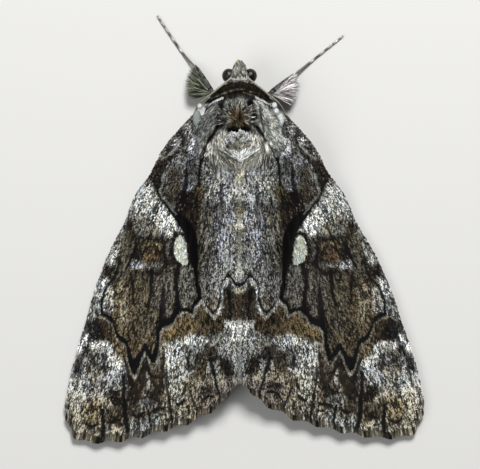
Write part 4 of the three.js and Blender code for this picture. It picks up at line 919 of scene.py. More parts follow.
def fringe(name, wing, side, rng):
    """The hair scales along the hind margin, dark at the veins."""
    count = FRINGE_SCALES
    v = (np.arange(count) + rng.uniform(0, 1, count)) / count
    u = rng.uniform(FRINGE_START, COAT_END + 0.01, count)
    surface = wing.surface(0.1)
    here, _, normal, _ = frames(surface, u, v, side)
    reach = surface(np.full(count, 1.0), v) - here
    length = np.linalg.norm(reach, axis=1) * rng.uniform(0.8, 1.02, count)
    tints, _ = wing_colours(*wing.dots(np.full(count, 0.97), v))
    # Darker grey-beige: partly the fringe's own colour, partly painted shade where its tips hang in shadow.
    tints = blend(tints, TAWNY * 0.9, 0.25 + 0.45 * noise(v * 70, u, 35))
    tints = tints * (0.75 + 0.5 * noise(v * 110, u, 36))[:, None]
    tints = blend(tints, UMBER, 0.85 * smooth(0.01, 0.003, nearest_of(FOREWING_VEINS, v)))
    tints = speckle(tints, np.full(count, 0.6), u, v, rng)
    here = here + normal * rng.uniform(-0.1, 0.08, count)[:, None]
    unwrap = np.stack([v, (u - FRINGE_START) * 50], -1)
    add_tufts(f"{name}_fringe", here, unit(reach), normal, (length, 0.2, 0.03), tints, unwrap, wing_scale)


def under_wing_colours(u, v):
    """The underside: pale buff with dark bands across it and a smoky tip."""
    colours = plain(TAN * 1.15, len(u))
    wave = u + 0.03 * np.sin(v * 14) + 0.02 * (noise(u * 12, v * 12, 61) - 0.5)
    for place, width in UNDER_BANDS:
        colours = blend(colours, UMBER, 0.85 * smooth(width, width * 0.5, np.abs(wave - place)))
    return colours * (0.85 + 0.3 * noise(u * 40, v * 90, 62))[:, None]


def hindwing_colours(u, v):
    """Orange red with two black bands and a paler fringe."""
    wave = u + 0.05 * np.sin(v * 9 + 0.6) + 0.03 * (noise(u * 10, v * 10, 71) - 0.5)
    colours = blend(plain(RUSSET, len(u)), OLIVE, 0.6 * smooth(0.3, 0.05, u) * smooth(0.6, 0.1, v))
    colours = blend(colours, BLACK, 0.96 * smooth(0.05, 0.03, np.abs(wave - 0.56)) * smooth(0.05, 0.15, v))
    colours = blend(colours, BLACK, 0.96 * smooth(0.085, 0.06, np.abs(wave - 0.85)))
    colours = blend(colours, CREAM, 0.8 * smooth(0.955, 0.97, u))
    return colours * (0.8 + 0.4 * noise(u * 50, v * 120, 72))[:, None]


def hindwing_pieces(side_name, side):
    rng = np.random.RandomState(51 + side)
    name = f"hindwing_{side_name}"
    wing = Wing(HINDWING_PLAN, HINDWING_VEINS, side_name, HINDWING_DROP, 0.0, 0.05)
    shape = (70, 70)
    us, vs = np.linspace(0, COAT_END, shape[0]), np.linspace(0, 1, shape[1])
    faces = {"upper": 1, "under": -1}
    surfaces = {face: wing.surface(sign * SKIN_LIFT) for face, sign in faces.items()}
    skins = [rings_of(surface, us, vs) for surface in surfaces.values()]
    tint = hindwing_colours(*skins[0][1:])
    sides = [skin[0] for skin in skins]
    # The underside takes the upper side's colours, a little darker: painted shade on the side that faces
    # down.
    add_sheet(name, shape, sides, (tint, tint * 0.9), hindwing_skin, side > 0)
    for face, sign in faces.items():
        u, v = cells(surfaces[face], (0.01, 0.985), (0.005, 0.995), 0.3, 0.2, rng)
        here, lie, normal, _ = frames(surfaces[face], u, v, side * sign)
        tints = hindwing_colours(u, v) * rng.uniform(0.75, 1.2, len(u))[:, None]
        sizes = drawn(rng, len(u), *HINDWING_SCALE_SIZE)
        add_tufts(f"{name}_scales_{face}", here - lie * 0.1, lie, normal, sizes, tints, np.stack([v, u], -1),
                  wing_scale)


for side_name, side in SIDES.items():
    forewing_pieces(side_name, side)
    hindwing_pieces(side_name, side)


# ---------------------------------------------------------------- trunk

TRUNK_ENDS = TRUNK_RINGS[[0, -1], 0]
HALF, MIDDLE_HEIGHT, RISE = 1, 2, 3  # the columns of the trunk's rings
COAT_DEPTH = [[17.0, 0.1], [15.9, 0.12], [15.0, 0.16], [14.5, 0.28], [-13, 0.3], [-16, 0.12]]


def ring_at(k, y):
    """A column of the trunk's rings at places along Y."""
    return read(TRUNK_RINGS[:, [0, k]], y)


def trunk_tube(steps=260):
    """The trunk under its coat, from its rings, a little smoothed."""
    fine = np.linspace(*TRUNK_ENDS, steps)
    columns = [np.pad(ring_at(k, fine), 2, mode="edge") for k in (HALF, MIDDLE_HEIGHT, RISE)]
    half, middle, rise = (np.convolve(column, [0.1, 0.2, 0.4, 0.2, 0.1], mode="valid") for column in columns)
    depth = read(COAT_DEPTH, fine)
    line = np.stack([np.zeros(steps), fine, middle], -1)
    return Tube(line, half - depth, rise - depth, SHOULDER_SWEEP, level=True)


trunk = trunk_tube()

# Markings of the body, and shade painted into its hollows and gaps, as seen from above, in dots: colour,
# strength, softness, outline.
BODY_PATCHES = [
    (PALE, 0.9, 5, [(226, 56), (252, 56), (252, 88), (226, 88)]),
    (OLIVE, 0.7, 4, [(232, 58), (244, 58), (242, 72), (234, 72)]),
    (UMBER, 1.0, 3, [(194, 108), (222, 87), (240, 81), (260, 87), (280, 106), (270, 104), (258, 101),
        (240, 98), (220, 103), (200, 107)]),
    (OLIVE * 0.75, 1.0, 3, [(200, 104), (222, 87), (240, 82), (258, 87), (273, 101), (258, 95), (240, 90),
        (220, 95)]),
    (BLACK, 0.9, 2, [(200, 106), (220, 98.5), (240, 93.5), (258, 98), (272, 104.5), (258, 102), (240, 98),
        (220, 103.5)]),
    (GREY, 1.0, 3, [(196, 107), (204, 106), (222, 103), (240, 98.5), (256, 102), (270, 104), (280, 106),
        (288, 150), (270, 156), (250, 130), (228, 130), (208, 156), (188, 150)]),
    (SLATE, 0.35, 8, [(204, 112), (218, 112), (214, 132), (206, 142), (202, 136)]),
    (PALE, 0.95, 8, [(255, 100), (276, 103), (284, 142), (270, 150), (257, 128)]),
    (PALE, 0.3, 4, [(226, 97), (240, 94), (252, 97), (250, 105), (228, 105)]),
    (TAN, 0.8, 6, [(226, 113), (237, 107), (249, 113), (250, 126), (238, 129), (226, 126)]),
    (OLIVE, 0.5, 6, [(229, 115), (237, 111), (246, 115), (246, 125), (238, 127), (229, 125)]),
    # Painted shade: black spots in the two hollows either side of the whorl's front.
    (BLACK, 0.95, 3, [(218, 104), (224, 102), (225, 108), (219, 112)]),
    (BLACK, 0.95, 3, [(247, 101), (252, 101), (252, 108), (247, 108)]),
    (FAWN, 0.9, 8, [(202, 148), (214, 137), (226, 130), (252, 130), (260, 137), (269, 147), (268, 166),
        (204, 166)]),
    (BEIGE, 0.9, 7, [(228, 132), (248, 132), (250, 150), (238, 160), (226, 150)]),
    # Painted shadow: the hollow in front of the crest, painted black.
    (BLACK, 1.0, 3, [(226, 128), (232, 126), (238, 128), (244, 126), (251, 128), (249, 133), (228, 133)]),
    (GREY, 0.9, 9, [(196, 164), (282, 164), (282, 190), (196, 190)]),
]
BODY_STREAKS = [
    # Painted shadow in the gaps between the shoulders and the thorax: black, then brown further back.
    (BLACK, 0.9, [(220, 121, 0.8), (218, 127, 1.5), (212, 136, 1.5), (207, 144, 0.8), (204, 156, 0.7)]),
    (BLACK, 0.9, [(254, 120, 0.8), (257, 127, 1.5), (261, 134, 1.6), (266, 141, 0.8)]),
    (UMBER, 0.6, [(205, 146, 0.6), (202, 156, 0.8), (200, 166, 0.6)]),
    (UMBER, 0.6, [(268, 143, 0.6), (273, 153, 0.8), (277, 165, 0.6)]),
    (WHITE, 0.8, [(198, 108, 0.6), (206, 105, 0.8), (214, 103.5, 0.8), (222, 102, 0.6)]),
    (WHITE, 0.5, [(256, 101, 0.6), (264, 103, 0.8), (274, 106, 0.6)]),
    (TAN, 0.5, [(211, 99, 0.4), (228, 93, 0.6), (240, 89.5, 0.7), (252, 92, 0.6), (264, 98, 0.4)]),
    (PALE, 0.7, [(212, 99, 0.3), (222, 94.6, 0.5), (232, 91, 0.6), (240, 89, 0.6), (246, 90.4, 0.5),
        (252, 93, 0.4)]),
    (CREAM, 0.7, [(244, 93, 0.3), (250, 94.6, 0.7), (257, 97.4, 0.6), (263, 100.5, 0.3)]),
    (UMBER, 0.6, [(208, 99, 0.4), (226, 89, 0.5), (240, 86, 0.6), (254, 89, 0.5), (267, 98, 0.4)]),
]
# The hollow in front of the crest, kept bare of thorax fur so that its skin, which carries the painted
# shadow, shows.
CREST_HOLLOW = [(226, 125), (232, 123), (238, 125), (244, 123), (251, 125), (249, 131), (228, 131)]

CLUMP = (0.13, 0.34)  # width and length of a clump of hairs
CLUMP_SHADE = 2.2
WHORL = np.array([-0.2, 11.95])
WHORL_REACH = 2.3
FAN_NOTCHES = (0.96, 2.43)  # turns about the whorl where its rays stop short of two hollows, painted black as shade


def body_colours(points):
    """Colours of the body at places, with its markings and painted shade on the side that faces up."""
    at = seen_at(points)
    height = points[:, 2]
    colours = blend(plain(GREY, len(points)), TAN, 0.5 * smooth(4.5, 2.0, height))
    return painted(colours, BODY_PATCHES, BODY_STREAKS, at, at, smooth(2.5, 4.5, height))[0]


def own_shade(colours, rng, spread, places=None, clumped=CLUMP_SHADE):
    """Each hair's own shade, some dark and some pale, in small clumps where places are given."""
    shade = rng.normal(0, spread, len(colours))
    if places is not None:
        shade += clumped * (noise(places[:, 0] / CLUMP[0], places[:, 1] / CLUMP[1], 41) - 0.5)
    return colours * np.clip(np.exp(shade), 0.3, 1.9)[:, None]


def coat(name, surface, u_range, v_range, spacing, seed, size, form, flow=None, outward=-1, sway=0.25,
         shade=0.34, keep=None, clumped=CLUMP_SHADE, brightness=1.0):
    """A coat piece of hairs all over a stretch of a surface; size is a hair's length, width and lift."""
    rng = np.random.RandomState(seed)
    u, v = cells(surface, u_range, v_range, *spacing, rng)
    if keep:
        kept = keep(surface(u, v))
        u, v = u[kept], v[kept]
    here, lie, normal, side = frames(surface, u, v, outward)
    if flow:
        lie = flow(here, lie)
    count = len(u)
    lie = unit(lie + side * rng.uniform(-sway, sway, count)[:, None])
    length = size[0] * rng.uniform(0.7, 1.25, count)
    clumps = here + np.outer(noise(here[:, 0] * 2, here[:, 1] * 2, 43) - 0.5, [0.6, 0, 0])
    tints = body_colours(here + lie * length[:, None] * 0.6) * brightness
    tints = own_shade(tints, rng, shade, clumps, clumped)
    places = here - lie * length[:, None] * 0.15
    sizes = length, size[1] * rng.uniform(0.7, 1.3, count), size[2] * rng.uniform(0.5, 1.4, count)
    unwrap = np.stack([part_of(v_range, v), part_of(u_range, u)], -1)
    add_tufts(name, places, lie, normal, sizes, tints, unwrap, body_hair, form)


def thorax_flow(here, lie):
    """Out from the whorl in the middle, back over the shoulders, and in to the point of the crest."""
    x, y = here[:, 0], here[:, 1]
    away = here[:, :2] - WHORL
    distance = np.linalg.norm(away, axis=1)
    near = smooth(WHORL_REACH, 1.5, distance) * smooth(4, 6, here[:, 2]) * smooth(-0.6, 0.1, away[:, 1])
    radial = np.c_[away / distance[:, None], np.zeros(len(here))]
    out = 0.4 * smooth(1.5, 2.6, np.abs(x)) * smooth(10, 12, y)
    inward = 0.55 * smooth(0.3, 1.6, np.abs(x)) * smooth(11.2, 10, y)
    back = unit(lie + np.c_[np.sign(x) * (out - inward), np.zeros((len(here), 2))])
    return unit(mix(back, radial, near[:, None]))


def on_thorax(places):
    """Where the thorax carries its own fur: not in the hollow before the crest."""
    return ~inside(*seen_at(places), CREST_HOLLOW)


def trunk_pieces(shape=(200, 72)):
    points, _, _ = rings_of(trunk.surface, np.linspace(0, 1, shape[0]), np.arange(shape[1]) / shape[1])
    add_piece("trunk_skin", points, ring_faces(*shape), body_skin, body_colours(points) * 0.6,
              stands_for=["head", "collar", "thorax", "abdomen"])
    # each stretch: front, rear, its part of a turn, spacing, size of a hair, form, and what else is special
    head = {"flow": lambda here, lie: -lie}
    thorax = {"flow": thorax_flow, "keep": on_thorax, "clumped": 1.4}
    stretches = {
        "head": (17.6, 16.1, (0, 1), (0.08, 0.07), (0.3, 0.09, 0.1), "hair", head),
        "collar": (16.15, 14.45, (0, 0.5), (0.07, 0.06), (0.5, 0.08, 0.12), "scale", {}),
        "collar_under": (16.15, 14.85, (0.5, 1), (0.12, 0.1), (0.5, 0.11, 0.12), "scale", {}),
        "thorax": (14.5, 7.1, (0, 0.5), (0.075, 0.058), (0.85, 0.062, 0.3), "scale", thorax),
        "thorax_under": (14.95, 7.1, (0.5, 1), (0.2, 0.16), (0.95, 0.14, 0.3), "hair", {}),
        "abdomen": (7.1, -15.8, (0, 1), (0.3, 0.22), (0.8, 0.26, 0.24), "hair", {}),
    }
    for i, (part, (front, rear, v_range, spacing, size, form, special)) in enumerate(stretches.items()):
        u_range = part_of(TRUNK_ENDS, front), part_of(TRUNK_ENDS, rear)
        coat(f"{part}_fur", trunk.surface, u_range, v_range, spacing, 81 + i, size, form, **special)


trunk_pieces()


# ---------------------------------------------------------------- loose hairs

HAIRS = {"whorl": 3400, "rays": 2400, "crest_side": 4200, "crest_fan": 3000, "crest_rays": 1800,
         "crest_clump": 300, "mantle": 7000, "seam": 3600, "shoulder_rim": 1100, "head": 4600,
         "head_peak": 1300, "face": 1300, "head_tuft": 150, "collar_rim": 1300}
FINE_HAIR = (0.0385, 0.0715)  # the least and the greatest width
TOP_INSET = 0.28  # how far the trunk's skin lies inside its rings
# Painted shade: the darkest rays of the whorl's fan stand for the dark gaps between its pale rays.
RAY_GAP_SHADE = GREY * 0.35


def ray(turn):
    """Plan directions at turns about the vertical, from the moth's right."""
    return np.stack([np.cos(turn), np.sin(turn)], -1)


def thorax_top(x, y):
    """Height of the trunk skin's top over plan places."""
    half, rise = ring_at(HALF, y) - TOP_INSET, ring_at(RISE, y) - TOP_INSET
    return ring_at(MIDDLE_HEIGHT, y) + rise * np.sqrt(np.clip(1 - (x / half) ** 2, 0, 1))


def wing_top(x, y):
    return wing_height(np.abs(x), y)


def crest_top(x, y):
    """Height that the fur around the crest lies at: over the thorax and on to the wings."""
    return np.maximum(thorax_top(x, y), wing_top(x, y) + 0.12)


def raised(flat, height, lift):
    """Plan places put at a lift over a height."""
    return np.c_[flat, height(flat[:, 0], flat[:, 1]) + lift]


def round_trunk(turn, y, inset):
    """Places round the trunk, an inset inside its rings."""
    half, rise = ring_at(HALF, y) - inset, ring_at(RISE, y) - inset
    return np.stack([half * np.cos(turn), y, ring_at(MIDDLE_HEIGHT, y) + rise * np.sin(turn)], -1)


def trunk_unwrap(roots):
    """The roots' places on an unwrap of the trunk: their turn about its axis, and their place along it."""
    axis = ring_at(MIDDLE_HEIGHT, roots[:, 1]) - 1.0
    flat = np.stack([np.arctan2(roots[:, 0], roots[:, 2] - axis), roots[:, 1]], -1)
    return part_of((flat.min(axis=0), flat.max(axis=0)), flat)


def strands(name, rng, roots, tips, tint, width, bow, spread, clumps=None, up=UP, root_shade=0.55,
            material=body_hair, unwrap=None):
    """A coat piece of curved hairs from roots to tips; width and bow are sizes or ranges of them."""
    width, bow = drawn(rng, len(roots), width, bow)
    shift = tips - roots
    length = np.linalg.norm(shift, axis=1)
    lie = shift / length[:, None]
    normal = unit(up - lie * np.sum(up * lie, axis=1, keepdims=True))
    add_tufts(name, roots, lie, normal, (length, width, bow), own_shade(tint, rng, spread, clumps),
              trunk_unwrap(roots) if unwrap is None else unwrap, material, "strand", root_shade)


def mops(rng, domes, count):
    """Roots and tips of scales that lie over small ragged domes; a dome is its place, radius and height."""
    roots, tips = [], []
    for place, radius, height in domes:
        turn = rng.uniform(0, 2 * np.pi, count)
        far = np.sqrt(rng.uniform(0.03, 1, count))
        ragged = 1 + 0.22 * np.sin(3 * turn + place[0] * 9) + 0.12 * np.sin(5 * turn + place[1] * 7)
        for ends, share in ((roots, far * 0.4), (tips, far * rng.uniform(0.75, 1.35, count))):
            flat = place[:2] + ray(turn) * (radius * ragged * share)[:, None]
            ends.append(np.c_[flat, place[2] + height * (1 - 0.8 * share**2.5)])
    return np.vstack(roots), np.vstack(tips)


def round_whorl(turn, start, bend, length):
    """Plan roots round the whorl's middle and tips that lie further out."""
    roots = WHORL + ray(turn) * start[:, None]
    return roots, roots + ray(bend) * length[:, None]


def whorl():
    """Hairs that stand out from the middle of the thorax, brown at their roots and pale at their tips."""
    rng = np.random.RandomState(95)
    count = HAIRS["whorl"]
    turn = rng.uniform(-0.12 * np.pi, 1.12 * np.pi, count)
    ahead = np.clip(np.sin(turn), 0, 1)
    start = mix(0.85, 1.3, ahead) * np.sqrt(rng.uniform(0.0, 1, count))
    length = rng.uniform(0.3, 0.85, count)
    roots, tips = round_whorl(turn, start, turn + rng.normal(0, 0.16, count), length)
    roots = raised(roots, thorax_top, -0.05)
    tips = raised(tips, thorax_top, rng.uniform(0.12, 0.42, count))
    outer = mix(0.85, 1.25, ahead)
    tint = blend(plain(HAZEL, count), PALE, smooth(0.8 * outer, 1.4 * outer, start + length))
    strands("thorax_whorl", rng, roots, tips, tint, FINE_HAIR, (0.02, 0.14), 0.42, roots, root_shade=0.4)
    count = HAIRS["rays"]
    turn = rng.uniform(-0.1 * np.pi, 1.1 * np.pi, count)
    start = rng.uniform(0.75, 1.65, count)
    notch = np.exp(-((nearest_of(FAN_NOTCHES, turn) / 0.16) ** 2))
    limit = mix(3.0, 2.3, np.sin(turn)) * (1 - 0.32 * notch)
    length = np.minimum(start + rng.uniform(0.45, 0.95, count), limit) - start
    roots, tips = round_whorl(turn, start, turn + rng.normal(0, 0.08, count), length)
    roots = raised(roots, thorax_top, 0.05)
    rise = 0.65 * smooth(1.5, 2.2, np.abs(tips[:, 0])) + rng.uniform(0.2, 0.5, count)
    tips = raised(tips, thorax_top, rise)
    # Rays run from painted shade, for the gaps between them, to fawn.
    tint = blend(plain(RAY_GAP_SHADE, count), FAWN, rng.uniform(0, 1, count) ** 1.3)
    strands("thorax_rays", rng, roots, tips, tint, FINE_HAIR, (0.02, 0.12), 0.55, roots, root_shade=0.3)


# Clumps of short scales that stand along the front of the crest: across, along, radius, height.
CREST_CLUMPS = [(-1.35, 9.6, 0.36, 0.4), (-1.02, 10.0, 0.36, 0.5), (-0.62, 10.26, 0.36, 0.56),
                (-0.22, 10.14, 0.34, 0.54), (0.2, 10.44, 0.38, 0.62), (0.62, 10.2, 0.38, 0.56),
                (0.98, 9.84, 0.36, 0.46), (-0.75, 9.62, 0.38, 0.48), (0.42, 9.72, 0.4, 0.48)]
CREST_POINT = np.array([-0.1, 7.6, 7.9])
CREST_FAN = {"point": np.array([0.05, 7.3]), "longest": 3.35, "turn": 57, "bundles": 19}
# The field of long pale hairs round the crest: its outline on the left and the right.
CREST_FIELD = [[(0.0, 9.2), (-1.6, 9.4), (-2.0, 10.7), (-3.75, 9.2), (-3.7, 7.7), (-1.8, 6.9), (0.0, 7.0)],
               [(0.0, 9.2), (1.2, 9.4), (1.3, 10.6), (3.45, 9.0), (3.5, 7.8), (1.8, 6.9), (0.0, 7.0)]]


def crest_sides():
    """Long soft hairs that run back beside the crest, out at first and then in to its point."""
    rng = np.random.RandomState(93)
    roots = []
    for outline in CREST_FIELD:
        places = rng.uniform(np.min(outline, axis=0), np.max(outline, axis=0), (HAIRS["crest_side"], 2))
        roots.append(places[inside(places[:, 0], places[:, 1], outline)])
    roots = np.vstack(roots)
    count = len(roots)
    x, y = roots.T
    inward = np.minimum(np.abs(x) / 1.4, 1.0) * smooth(10.3, 8.2, y)
    lean = np.sign(x) * (0.35 * smooth(9.2, 10.4, y) - 0.75 * inward) + rng.normal(0, 0.12, count)
    tips = roots + unit(np.c_[lean, np.full(count, -1.0)]) * rng.uniform(0.5, 1.15, count)[:, None]
    roots = raised(roots, crest_top, -0.12)
    tips = raised(tips, crest_top, rng.uniform(0.02, 0.26, count))
    tint = blend(plain(GREY, count), FAWN, rng.uniform(0.35, 1.1, count))
    strands("crest_sides", rng, roots, tips, tint, (0.0288, 0.0624), (0.02, 0.14), 0.32, root_shade=0.5)


def crest():
    """The pale hind crest: hairs that meet in a point behind, a fan of rays over them, clumps in front."""
    rng = np.random.RandomState(91)
    count = HAIRS["crest_fan"]
    turn = rng.uniform(0, 2 * np.pi, count)
    far = np.sqrt(rng.uniform(0.0, 1, count))
    roots = np.array([-0.1, 9.5]) + ray(turn) * far[:, None] * [1.55, 1.0]
    roots = raised(roots, thorax_top, -0.1)
    tips = roots + unit(CREST_POINT - roots) * rng.uniform(0.45, 1.15, count)[:, None]
    tips[:, :2] += rng.normal(0, 0.07, (count, 2))
    tips[:, 2] = np.maximum(thorax_top(tips[:, 0], tips[:, 1]), 7.5) + rng.uniform(0.04, 0.3, count)
    tint = blend(plain(PALE * 1.1, count), BEIGE * 0.8, rng.uniform(0, 1, count))
    warm = smooth(0.5, 0.1, np.abs(roots[:, 0] + 0.1)) * smooth(9.4, 8.8, roots[:, 1])
    tint = blend(tint, OCHRE, 0.5 * warm)
    strands("crest_fan", rng, roots, tips, tint, FINE_HAIR, (0.02, 0.18), 0.3, roots, root_shade=0.4)
    count = HAIRS["crest_rays"]
    bundles = CREST_FAN["bundles"]
    bundle = rng.randint(0, bundles, count)
    turns = np.linspace(-1, 1, bundles) * CREST_FAN["turn"] + rng.uniform(-2.5, 2.5, bundles)
    heading = ray(np.radians(90 + turns[bundle] + rng.normal(0, 1.6, count)))
    longest = CREST_FAN["longest"] * mix(0.45, 1.0, np.abs(turns) / CREST_FAN["turn"])
    longest = longest * rng.uniform(0.75, 1.0, bundles)
    far = longest[bundle] * rng.uniform(0.12, 1.0, count)
    near = np.maximum(0.05, far - rng.uniform(0.4, 1.1, count))
    roots, tips = (CREST_FAN["point"] + heading * distance[:, None] for distance in (far, near))
    tips += rng.normal(0, 0.06, (count, 2))
    roots = raised(roots, crest_top, 0.08)
    tips = raised(tips, crest_top, rng.uniform(0.24, 0.46, count))
    tint = blend(plain(PALE * 0.9, count), WHITE * 1.1, rng.uniform(0.2, 1.3, bundles)[bundle])
    strands("crest_rays", rng, roots, tips, tint, (0.03, 0.065), (0.02, 0.12), 0.5, root_shade=0.6)
    plan, sizes = np.array(CREST_CLUMPS)[:, :2], np.array(CREST_CLUMPS)[:, 2:]
    domes = [(place, *size) for place, size in zip(raised(plan, thorax_top, 0.12), sizes)]
    roots, tips = mops(rng, domes, HAIRS["crest_clump"])
    tint = blend(plain(WHITE * 1.2, len(roots)), GREY, rng.uniform(0, 1, len(roots)) ** 2)
    strands("crest_clumps", rng, roots, tips, tint, 0.065, 0.05, 0.5, root_shade=0.4)


def seen_wing_colours(points):
    """The forewings' colours at places as they show in the view, on either side."""
    x, y = seen_at(points)
    return wing_colours(MIDLINE_DOT - np.abs(x - MIDLINE_DOT), y)[0]


def mantle():
    """Long hairs from the thorax over the wings' roots, and short ones that close the wings' seam."""
    rng = np.random.RandomState(97)
    edge = along(spline(FOREWING_PLAN["inner"]), np.linspace(0, 1, 200))
    count = HAIRS["mantle"]
    place = along(edge, rng.uniform(0, 1, count))
    hand = rng.choice([-1.0, 1.0], count)
    ahead = rng.uniform(-0.5, 1.3, count)
    reach = rng.uniform(0.8, 1.9, count)
    roots = np.stack([place[:, 0] * hand, place[:, 1] + ahead], -1)
    tips = roots + np.stack([-0.12 * hand * reach + rng.normal(0, 0.08, count), -reach], -1)
    roots = raised(roots, thorax_top, 0)
    roots[:, 2] = np.minimum(np.maximum(roots[:, 2], 6.8), wing_top(roots[:, 0], roots[:, 1]) + 0.35)
    tips = raised(tips, wing_top, WING_THICKNESS / 2 + rng.uniform(0.0, 0.16, count))
    on_wing = smooth(166, 176, seen_at(tips)[1])[:, None]
    tint = mix(body_colours(tips), seen_wing_colours(tips), on_wing)
    strands("mantle", rng, roots, tips, tint, (0.042, 0.078), (0.0, 0.14), 0.38, tips)
    count = HAIRS["seam"]
    hand = rng.choice([-1.0, 1.0], count)
    y = rng.uniform(-17.0, 6.6, count)
    roots = np.stack([hand * rng.uniform(0.12, 0.3, count), y], -1)
    tips = roots + np.stack([-hand * rng.uniform(0.12, 0.4, count), -rng.uniform(0.3, 0.6, count)], -1)
    roots = raised(roots, wing_top, 0.12)
    tips = raised(tips, wing_top, 0.26 + rng.uniform(0, 0.08, count))
    strands("ridge_seam", rng, roots, tips, seen_wing_colours(tips), (0.091, 0.169), 0.02, 0.35,
            root_shade=0.8, material=wing_scale)


def tegula(side_name, side):
    """A pad of long soft scales over a wing root."""
    at, steps, clear = TEGULA["along"], 30, TEGULA["clear"]
    shares = np.linspace(0, 1, steps)[:, None]
    paths = []
    for degrees, across, place in TEGULA_LOCKS:
        out, rise = ray(np.radians(degrees))
        half = (ring_at(HALF, at) + clear - 0.2) * out
        height = ring_at(MIDDLE_HEIGHT, at) + (ring_at(RISE, at) + clear - 0.25) * rise
        root = np.array([side * half, at + 0.2 - SHOULDER_SWEEP * half**2, height])
        tip = over_wing(np.array([across]), np.array([place]), WING_THICKNESS / 2 + 0.35)[0] * [side, 1, 1]
        middle = (root + tip) / 2 + np.array([side * out, 0, rise]) * TEGULA["rise"]
        paths.append(mix(mix(root, middle, shares), mix(middle, tip, shares), shares))
    paths = spline(np.array(paths).reshape(len(paths), -1), 12).reshape(-1, steps, 3)

    def pad(u, v):
        t = np.clip(v, 0, 1) * (len(paths) - 1)
        i = np.minimum(t.astype(int), len(paths) - 2)
        s = np.clip(u, 0, 1) * (steps - 1)
        j = np.minimum(s.astype(int), steps - 2)
        low, high = (mix(paths[k, j], paths[k, j + 1], (s - j)[:, None]) for k in (i, i + 1))
        return mix(low, high, (t - i)[:, None])

    shape = (24, 20)
    points, u, v = rings_of(pad, np.linspace(0.08, 0.93, shape[0]), np.linspace(0, 1, shape[1]))
    thick = frames(pad, u, v, side)[2] * (0.03 + 0.13 * smooth(1.05, 0.6, u))[:, None]
    tints = body_colours(points) * 0.6
    name = f"tegula_{side_name}"
    add_sheet(name, shape, (points + thick, points - thick), (tints, tints), body_skin, side < 0)

    def lean(here, lie):
        return unit(lie + np.array([0.25 * side, 0, 0]))

    coat(f"{name}_fur", pad, (0.0, 0.95), (0.0, 1.0), (0.085, 0.065), 102 + side, (0.9, 0.07, 0.3), "scale",
         lean, side, 0.3, 0.42, clumped=1.5, brightness=1.05)


# Smooth pads of pale scales on the shoulders: across, along, height, half width, half length, colour.
SHOULDER_PADS = [(-4.42, 13.55, 5.0, 0.26, 0.3, WHITE), (-4.72, 12.15, 5.15, 0.46, 0.95, SILVER),
                 (3.85, 13.62, 5.35, 0.3, 0.34, WHITE), (4.05, 12.95, 5.5, 0.3, 0.36, WHITE),
                 (4.5, 12.0, 5.35, 0.42, 0.72, CHALK_BLUE)]


def shoulder_pads(steps=20):
    """Small smooth pale pads of flat scales in front of the wings' roots."""
    rng = np.random.RandomState(99)
    shares = np.linspace(0, 1, steps)
    round_off = np.sqrt(np.clip(1 - (2 * shares - 1) ** 2, 0.01, 1))
    skins, scales = [], []
    for k, (x, y, z, wide, long, tint) in enumerate(SHOULDER_PADS):
        line = np.stack([np.full(steps, x), y + long * (1 - 2 * shares), np.full(steps, z)], -1)
        pad = Tube(line, wide * round_off, 0.42 * round_off, level=True).surface
        points, u, v = rings_of(pad, shares, np.arange(steps) / steps)
        skins.append((points, ring_faces(steps, steps, k * steps**2), plain(tint * 0.8, steps**2)))
        u, v = cells(pad, (0.03, 0.97), (0.0, 0.5), 0.06, 0.05, rng)
        here, lie, normal, _ = frames(pad, u, v, -1)
        unwrap = np.stack([(v * 1.8 + k) / len(SHOULDER_PADS), u], -1)
        scales.append((here - lie * 0.08, lie, normal, plain(tint, len(u)), unwrap))
    points, faces, tints = (np.vstack(part) for part in zip(*skins))
    add_piece("shoulder_pads_skin", points, faces, body_skin, tints)
    here, lie, normal, tints, unwrap = (np.vstack(part) for part in zip(*scales))
    length = rng.uniform(0.192, 0.288, len(here))
    add_tufts("shoulder_pads_scales", here, lie, normal, (length, 0.1, 0.035), own_shade(tints, rng, 0.07),
              unwrap, body_hair, root_shade=0.85)


def shoulder_rim():
    """The crisp pale edge of short scales along the front of each shoulder, behind the collar."""
    rng = np.random.RandomState(109)
    count = HAIRS["shoulder_rim"]
    hand = rng.choice([-1.0, 1.0], count)
    x = rng.uniform(1.75, 3.95, count)
    y = 14.72 - SHOULDER_SWEEP * x**2 + rng.uniform(-0.06, 0.04, count)
    roots = np.stack([hand * x, y, thorax_top(x, np.full(count, 14.5)) + 0.05], -1)
    tips = roots + np.stack([hand * 0.05 + rng.normal(0, 0.04, count), -rng.uniform(0.1, 0.3, count),
                             rng.uniform(0.12, 0.3, count)], -1)
    tint = blend(plain(WHITE, count), PALE, rng.uniform(0, 1, count) ** 2)
    strands("shoulder_rim", rng, roots, tips, tint, 0.07, 0.02, 0.2, up=np.array([[0, 1.0, 0.3]]),
            root_shade=0.8)


BROW_POINT = np.array([-0.12, 18.68, 4.9])
HEAD_MIDDLE = np.array([0, 17.0, 4.0])
HEAD_TUFTS = (-1.1, -0.66, -0.2, 0.24, 0.68, 1.02)  # places across the head of the tufts between the feelers


def out_of_head(roots):
    return unit((roots - HEAD_MIDDLE) * [1, 0.3, 1])


